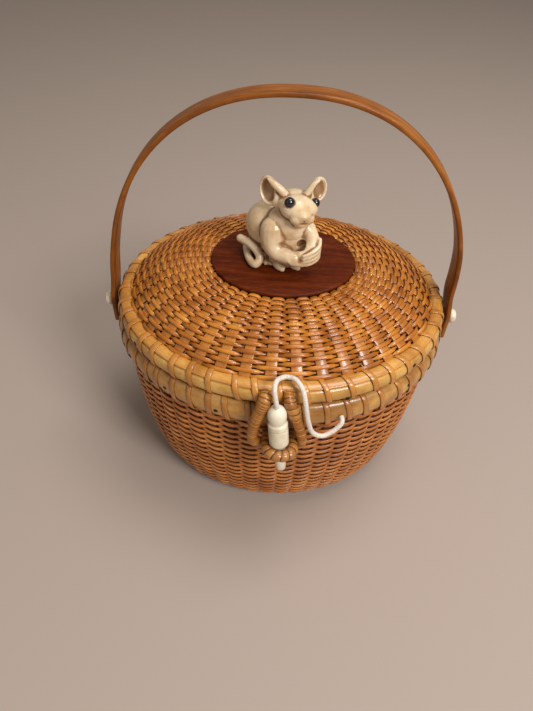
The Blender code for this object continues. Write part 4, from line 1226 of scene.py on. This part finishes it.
def part_frame(place, turn_z, turn_x, turn_y):
    """The frame of the head or an ear, turned in degrees about each axis."""
    return (
        Matrix.Translation(place)
        @ Matrix.Rotation(math.radians(turn_z), 4, "Z")
        @ Matrix.Rotation(math.radians(turn_x), 4, "X")
        @ Matrix.Rotation(math.radians(turn_y), 4, "Y")
    )


STANDING = Matrix.Identity(4)
HEAD = part_frame((5.4, -6.0, 42.0), 15, 0, 5)
LEFT_EAR = part_frame((-10.0, -2.6, 45.4), -28, -12, -18)
RIGHT_EAR = part_frame((16.2, -1.5, 46.8), 30, -10, 12)
MOUSE_MASSES = (
    # frame, place and half sizes in millimetres: rump, back, chest, shoulders and belly
    (STANDING, (-8.0, 7.5, 12.0), (13.5, 13.0, 14.0)),
    (STANDING, (-8.4, 4.5, 20.8), (14.6, 12.5, 14.2)),
    (STANDING, (1.0, -3.5, 20.5), (14.6, 10.2, 16.0)),
    (STANDING, (1.5, -4.5, 27.5), (12.5, 9.8, 9.5)),
    (STANDING, (-4.6, -6.6, 22.5), (8.8, 8.2, 11.0)),
    (STANDING, (2.5, -8.6, 25.0), (9.0, 5.4, 6.8)),
    (STANDING, (12.0, -5.5, 22.5), (5.0, 6.2, 8.0)),
    (STANDING, (0.5, -7.0, 5.0), (9.0, 6.0, 6.0)),
    # skull, brow, cheeks, muzzle, lips, chin and nose
    (HEAD, (-0.4, 1.5, -1.4), (10.2, 9.4, 6.6)),
    (HEAD, (-0.4, -3.2, -1.8), (9.6, 8.4, 6.9)),
    (HEAD, (0.4, -7.0, -2.6), (7.4, 6.2, 5.2)),
    (HEAD, (4.0, -4.8, -1.9), (6.8, 6.2, 5.4)),
    (HEAD, (1.2, -10.4, -2.9), (4.4, 3.9, 3.5)),
    (HEAD, (-1.9, -9.6, -5.0), (3.8, 3.9, 3.5)),
    (HEAD, (4.3, -9.4, -5.0), (4.0, 3.9, 3.5)),
    (HEAD, (1.2, -8.4, -8.3), (4.4, 3.9, 2.6)),
    (HEAD, (1.2, -13.7, -2.1), (1.5, 1.1, 1.0)),
    # each ear's shell and its root
    (LEFT_EAR, (0, 0, 0), (5.9, 2.8, 8.3)),
    (LEFT_EAR, (4.2, 0.4, -5.0), (3.8, 2.8, 4.4)),
    (RIGHT_EAR, (0.4, 0, 0), (5.6, 2.6, 7.2)),
    (RIGHT_EAR, (-3.2, 0.4, -4.6), (3.2, 2.6, 4.0)),
)


def mouse_place(spot):
    """A place on the mouse from millimetres over the plate."""
    return Vector((spot[0], spot[1], spot[2])) * 0.001 + Vector((0, 0, MOUSE_BASE))


def add_lump(shape, owner, spot, sizes):
    """Adds one egg to the clay, in the frame of the part it belongs to."""
    to_metres = Matrix.Translation((0, 0, MOUSE_BASE)) @ Matrix.Scale(0.001, 4)
    placed = to_metres @ owner @ Matrix.Translation(spot) @ Matrix.Diagonal((*sizes, 1.0))
    bmesh.ops.create_icosphere(shape, subdivisions=4, radius=1.0, matrix=placed)


clay = bmesh.new()
for owner, spot, sizes in MOUSE_MASSES:
    add_lump(clay, owner, spot, sizes)
print("clay masses:", len(MOUSE_MASSES))

# %% [markdown]
# ## The mouse's limbs
# Arms, fingers, toes, the rolled ears and the long curled tail are all tapering rolls of
# clay. Strings of balls would need thousands of faces, so each is one tube with round ends
# along a route in millimetres, and the fingers are counted off in a loop.

# %% Mouse limbs
END_SHARE = 0.1


def add_limb(shape, route, sizes, steps=36):
    """Adds a tapering tube with round ends along a route."""
    frames = carried_frames(measure(smooth_line([Vector(spot) for spot in route])), steps, False)
    widths = smooth_line([Vector((size, 0, 0)) for size in sizes])

    def rule(u, v):
        share = clamped((u - END_SHARE) / (1 - 2 * END_SHARE))
        spot, side, up = frames[round(share * steps)]
        size = widths[round(share * (len(widths) - 1))].x
        cap = 1 - min(min(u, 1 - u) / END_SHARE, 1.0)
        lean = math.copysign(math.pi / 2 * cap, u - 0.5)
        turn = 2 * math.pi * v
        level = (side * math.cos(turn) + up * math.sin(turn)) * math.cos(lean)
        return mouse_place(spot + (level + side.cross(up) * math.sin(lean)) * size)

    add_grid(shape, steps + 10, 16, rule)


TAIL = (
    (-9.5, 12, 4), (-17.5, 14.5, 3.2), (-22.3, 8.2, 2.5), (-22.0, 1.7, 2.4), (-19.9, -6.5, 2.4),
    (-16.4, -11.9, 2.6), (-13.9, -10.4, 4.8), (-14.2, -8.6, 7.2), (-16.6, -6.2, 9.6),
    (-20.9, -1.9, 10.8), (-26.0, 2.4, 10.6),
)
TAIL_SIZES = (3.6, 3.0, 2.5, 2.3, 2.3, 2.3, 2.35, 2.4, 2.4, 2.5, 2.5)
add_limb(clay, TAIL, TAIL_SIZES, 110)
LIMBS = (
    # rolled front edges of the ears
    (
        ((-10.2, -3.6, 52.4), (-7.6, -5.4, 51.2), (-4.2, -6.8, 49.2), (-1.6, -6.6, 46.4)),
        (1.5, 2.0, 2.1, 2.2),
    ),
    (
        ((10.6, -5.0, 46.0), (12.2, -4.8, 49.0), (14.0, -4.2, 51.6), (16.2, -3.4, 53.2)),
        (2.0, 1.8, 1.6, 1.2),
    ),
    # arms
    (
        ((-6.5, -8.5, 25), (-6.6, -10.6, 18.0), (-3.4, -13.5, 13.8), (2.0, -16.8, 13.0), (6.0, -18.0, 12.8)),
        (7.4, 6.9, 5.8, 4.6, 3.8),
    ),
    (((13.0, -6.0, 25), (15.2, -9.5, 21.6), (15.8, -12.2, 19.2), (14.6, -14.8, 16.8)), (4.4, 4.2, 4.4, 4.6)),
    (((13.8, -15.2, 16.0), (10.0, -17.0, 14.2)), (4.5, 3.8)),
)
for route, sizes in LIMBS:
    add_limb(clay, route, sizes)
add_lump(clay, STANDING, (15.8, -14.6, 17.2), (4.0, 4.2, 5.0))
for finger in range(4):
    raised = (
        (20.0, -11.8, 22.2 - 2.5 * finger), (19.3, -17.0, 20.6 - 2.55 * finger),
        (15.2, -20.3, 18.6 - 2.45 * finger), (10.8, -21.2, 16.6 - 2.05 * finger),
    )
    add_limb(clay, raised, (1.1, 1.15, 1.1, 0.85))
    across = 2.15 * finger
    lowered = (
        (0.6 + across, -18.6, 14.8), (3.0 + across, -20.6, 12.8 - 0.25 * across),
        (4.8 + 0.85 * across, -20.8, 10.4 - 0.1 * across),
    )
    add_limb(clay, lowered, (1.15, 1.2, 0.95))
add_limb(clay, ((-3.6, -8.0, 2.8), (-2.4, -11.4, 2.4), (-0.4, -13.4, 1.6)), (3.4, 3.0, 1.9))
add_limb(clay, ((5.6, -8.0, 2.8), (7.0, -10.4, 2.2), (8.6, -11.6, 1.6)), (3.4, 2.8, 1.9))
for aside in (0, 3.0):
    toe = ((-11.6 + aside, -2.0, 4.6), (-11.2 + aside, -5.8, 3.8), (-10.4 + aside, -8.8, 2.0))
    add_limb(clay, toe, (2.4, 2.0, 1.6))
print("clay faces", len(clay.faces))

# %% [markdown]
# ## Melt and carve
# The masses still pass through each other. A voxel remesh melts them into one skin, a
# smoothing eases the joins, and a Boolean cuts what a gouge would: the cups of the ears, the
# mouth, the gap in the fist and the sockets. A second remesh evens the skin for its finish.

# %% Melt and carve
HOLLOWS = (
    (LEFT_EAR, (-0.2, -2.6, 0.3), (4.8, 3.4, 7.2)),
    (RIGHT_EAR, (0.8, -2.4, 0.3), (4.5, 3.0, 6.0)),
    (HEAD, (1.2, -14.0, -4.6), (0.45, 1.7, 1.7)),
    (HEAD, (-0.9, -13.2, -6.6), (2.3, 1.7, 0.55)),
    (HEAD, (3.3, -13.2, -6.6), (2.3, 1.7, 0.55)),
    (STANDING, (10.0, -13.6, 18.1), (3.3, 4.4, 3.6)),
)
EYES = (("left", (-6.2, -6.9, 3.1), 2.9), ("right", (9.3, -3.7, 0.9), 2.6))
SOCKET_GAP, BLOCK_SIZE = 0.05, 0.1


def raw_object(name, shape):
    """A plain mesh object for modifiers to work on."""
    data = bpy.data.meshes.new(name)
    shape.to_mesh(data)
    shape.free()
    thing = bpy.data.objects.new(name, data)
    bpy.context.scene.collection.objects.link(thing)
    return thing


lump = raw_object("clay", clay)
hollow_shape = bmesh.new()
for owner, spot, sizes in HOLLOWS:
    add_lump(hollow_shape, owner, spot, sizes)
for _, spot, size in EYES:
    add_lump(hollow_shape, HEAD, spot, (size + SOCKET_GAP,) * 3)
hollows = raw_object("hollows", hollow_shape)
under_shape = bmesh.new()
under_middle = Matrix.Translation((0, 0, MOUSE_BASE + 0.0002 - BLOCK_SIZE / 2))
bmesh.ops.create_cube(under_shape, size=BLOCK_SIZE, matrix=under_middle)
under = raw_object("under", under_shape)
for name, kind, settings in (
    ("melt", "REMESH", {"mode": "VOXEL", "voxel_size": 0.00048}),
    ("ease", "SMOOTH", {"iterations": 3}),
    ("carve", "BOOLEAN", {"operation": "DIFFERENCE", "object": hollows, "solver": "MANIFOLD"}),
    ("flat", "BOOLEAN", {"operation": "DIFFERENCE", "object": under, "solver": "EXACT"}),
    ("skin", "REMESH", {"mode": "VOXEL", "voxel_size": 0.00042}),
    ("polish", "SMOOTH", {"iterations": 2}),
):
    modifier = lump.modifiers.new(name, kind)
    for key, value in settings.items():
        setattr(modifier, key, value)
bpy.context.view_layer.update()
evaluated = lump.evaluated_get(bpy.context.evaluated_depsgraph_get())
melted = bpy.data.meshes.new_from_object(evaluated)
for thing in (lump, hollows, under):
    bpy.data.objects.remove(thing, do_unlink=True)
print("melted faces", len(melted.polygons))

# %% [markdown]
# ## Stain and painted shade in the creases
# Carvers rub brown stain over such a piece and wipe it off, so it stays only where it is
# hollow, and here the same brown also paints the shade in the hollows. A painted map would
# need unwrapping. Comparing the skin with a much smoother copy tells the same: where the copy
# lies outside the skin, the spot is hollow by that much.

# %% Stain and painted shade in the creases
SMOOTHINGS, FULL_STAIN_AND_SHADE_DEPTH, MOST_STAIN_AND_SHADE = 36, 0.00017, 0.9
carved = bmesh.new()
carved.from_mesh(melted)
smoother = carved.copy()
for smoothing in range(SMOOTHINGS):
    bmesh.ops.smooth_vert(
        smoother, verts=smoother.verts, factor=0.5, use_axis_x=True, use_axis_y=True, use_axis_z=True
    )
carved.normal_update()
crease_stain_and_shade = carved.verts.layers.float.new("crease_stain_and_shade")
carved.verts.ensure_lookup_table()
smoother.verts.ensure_lookup_table()
for sharp, eased in zip(carved.verts, smoother.verts):
    # How hollow each spot is sets both the brown stain and the painted shade there.
    depth = (eased.co - sharp.co).dot(sharp.normal)
    sharp[crease_stain_and_shade] = clamped(depth / FULL_STAIN_AND_SHADE_DEPTH) ** 0.75 * MOST_STAIN_AND_SHADE
smoother.free()
# The brown stands for the stain and for the shade painted in the hollows.
mouse_ivory = ivory_finish(
    "mouse_ivory", (0.80, 0.61, 0.39), (0.64, 0.43, 0.23), stain_and_shade=(0.24, 0.092, 0.018), stain_and_shade_map="crease_stain_and_shade"
)
finish_piece("carved_mouse", carved, mouse_ivory, "lid", ["mouse_carving"])

# %% [markdown]
# ## Eyes
# The eyes are black, glossy beads pressed into their sockets. Paint on the carving wouldn't
# catch the lamps as a bead does, so each is a ball in the head's own frame.

# %% Eyes
eye_gloss, eye_tree, eye_shader = start_finish("eye_gloss", 0.06, 0.6, 0.03)
eye_shades = ((0.4, (0.004, 0.004, 0.006)), (0.7, (0.02, 0.018, 0.02)))
colour_by(eye_tree, eye_shader, tones(eye_tree, speckle(eye_tree, 300.0, 2.0), eye_shades))
for name, spot, size in EYES:
    eye_shape = bmesh.new()
    add_lump(eye_shape, HEAD, spot, (size,) * 3)
    finish_piece("glossy_eye_" + name, eye_shape, eye_gloss, "lid", ["mouse_eye_" + name])

# %% [markdown]
# ## The cord
# A braided cotton cord runs from the body's rim, up over the lid's rim and down into the top
# of the peg. Its line repeats the frame's. Eight real strands would be heavy, so the round
# cord's own surface rises where a right-hand and a left-hand strand cross.

# %% Cord
CORD_START, CORD_SPAN, CORD_RADIUS = Vector((0.0366, -0.0850, 0.1150)), 0.040, 0.0014
CORD_STRANDS, CORD_TURN_LENGTH, CORD_SWELL, CORD_STEPS = 8, 0.0062, 0.045, 260
CORD_ROWS = (
    (0.0, 0.0, 0.0), (0.010, -0.060, -0.015), (-0.012, -0.102, -0.060), (-0.110, -0.150, -0.150),
    (-0.255, -0.205, -0.195), (-0.395, -0.235, -0.085), (-0.475, -0.240, 0.165),
    (-0.530, -0.185, 0.460), (-0.580, -0.085, 0.615), (-0.668, 0.035, 0.660), (-0.760, 0.095, 0.645),
    (-0.850, 0.085, 0.640), (-0.925, -0.060, 0.720), (-0.942, -0.180, 0.680),
    (-0.915, -0.240, 0.520), (-0.898, -0.255, 0.410),
)
cord_measured = measure(smooth_line([CORD_START + Vector(row) * CORD_SPAN for row in CORD_ROWS]))
cord_length = cord_measured[0][-1]
cord_frames = carried_frames(cord_measured, CORD_STEPS, False)


def cord_rule(u, v):
    """A round cord whose surface rises where a strand passes over."""
    spot, side, up = cord_frames[round(u * CORD_STEPS)]
    turn = 2 * math.pi * v
    travel = u * cord_length / CORD_TURN_LENGTH
    right_hand = math.cos(2 * math.pi * (CORD_STRANDS / 2 * v + 2 * travel))
    left_hand = math.cos(2 * math.pi * (CORD_STRANDS / 2 * v - 2 * travel))
    swell = 1 - CORD_SWELL + CORD_SWELL * right_hand * left_hand
    return spot + (side * math.cos(turn) + up * math.sin(turn)) * CORD_RADIUS * swell


cotton, cotton_tree, cotton_shader = start_finish("cord_cotton", 0.8)
cotton_shader.inputs["Sheen Weight"].default_value = 0.3
yarn = speckle(cotton_tree, 2600.0, 3.0)
cotton_shades = ((0.35, (0.50, 0.40, 0.30)), (0.6, (0.84, 0.76, 0.66)))
colour_by(cotton_tree, cotton_shader, tones(cotton_tree, yarn, cotton_shades))
add_bump(cotton_tree, cotton_shader, yarn, 0.00012, 0.8)
cord_shape = bmesh.new()
add_grid(cord_shape, CORD_STEPS, 24, cord_rule, cord_length)
cord = finish_piece("braided_cord", cord_shape, cotton, "basket", ["latch_cord"])
cord_path = [tuple(place_on(cord_measured, step / 120)[0]) for step in range(121)]
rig.cord(
    cord, exit=cord_path[0], length=cord_length, diameter=2 * CORD_RADIUS,
    far_end="object", stiffness="limp", lay="loose", path=cord_path,
)
print("cord", round(cord_length, 4), "m")

# %% [markdown]
# ## Base, pins and washers
# The base board and the metal of the pivots are plain shapes, and the frame's own solids are
# already right. So they keep their mesh and only get their finish.

# %% Finishes of the frame's own pieces
dark_metal, metal_tree, metal_shader = start_finish("dark_metal", 0.4)
metal_shader.inputs["Metallic"].default_value = 1.0
metal_shades = ((0.35, (0.07, 0.05, 0.035)), (0.65, (0.20, 0.15, 0.10)))
colour_by(metal_tree, metal_shader, tones(metal_tree, speckle(metal_tree, 700.0, 3.0), metal_shades))
own_finishes = {"base_plate": base_wood}
for side in ("left", "right"):
    own_finishes["pivot_pin_" + side] = dark_metal
    own_finishes["pivot_washer_" + side] = dark_metal
for node, finish in own_finishes.items():
    frame["nodes"][node].data.materials.clear()
    frame["nodes"][node].data.materials.append(finish)
print("pieces:", len(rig.pieces()))

# %% [markdown]
# ## Floor and light
# The basket stands in a studio. A pale floor and broad, soft lamps keep the colours close to
# how they are written. The main lamp stands above and a little to the right, as the
# highlights on the lid show, and a faint warm room light fills the shadows.

# %% Floor and light
floor_shape = bmesh.new()
bmesh.ops.create_grid(floor_shape, x_segments=1, y_segments=1, size=3.0)
floor = raw_object("floor", floor_shape)
floor_finish, _, floor_shader = start_finish("floor_pale", 0.9)
floor_shader.inputs["Base Color"].default_value = (0.41, 0.325, 0.27, 1.0)
floor.data.materials.append(floor_finish)
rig.stage(floor)


def soft_lamp(name, place, size, power):
    """A square lamp aimed at the basket."""
    lamp = bpy.data.objects.new(name, bpy.data.lights.new(name, "AREA"))
    lamp.data.size = size
    lamp.data.energy = power
    lamp.location = place
    lamp.rotation_euler = (Vector((0, 0, 0.1)) - Vector(place)).to_track_quat("-Z", "Y").to_euler()
    bpy.context.scene.collection.objects.link(lamp)


soft_lamp("key_lamp", (0.62, -0.75, 0.95), 0.4, 12.0)
soft_lamp("top_lamp", (0.28, 0.05, 1.30), 0.6, 8.0)
soft_lamp("fill_lamp", (-0.9, -0.8, 0.8), 1.0, 1.2)
world = bpy.data.worlds.new("room")
bpy.context.scene.world = world
world.use_nodes = True
background = world.node_tree.nodes["Background"]
background.inputs["Color"].default_value = (1.0, 0.93, 0.85, 1.0)
background.inputs["Strength"].default_value = 0.26
bpy.context.scene.view_settings.view_transform = "Standard"
print("lamps:", len(bpy.data.lights))

# %% [markdown] ## Sizes The weave should hardly make the basket bigger
# than its frame.

# %% Finish
visual_low, visual_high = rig.bounds()
sizes = {"cad": [list(cad_low), list(cad_high)], "visual": [list(visual_low), list(visual_high)]}
with open("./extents.json", "w") as size_file:
    json.dump(sizes, size_file)
print("visual box", [round(value, 4) for value in (*visual_low, *visual_high)])
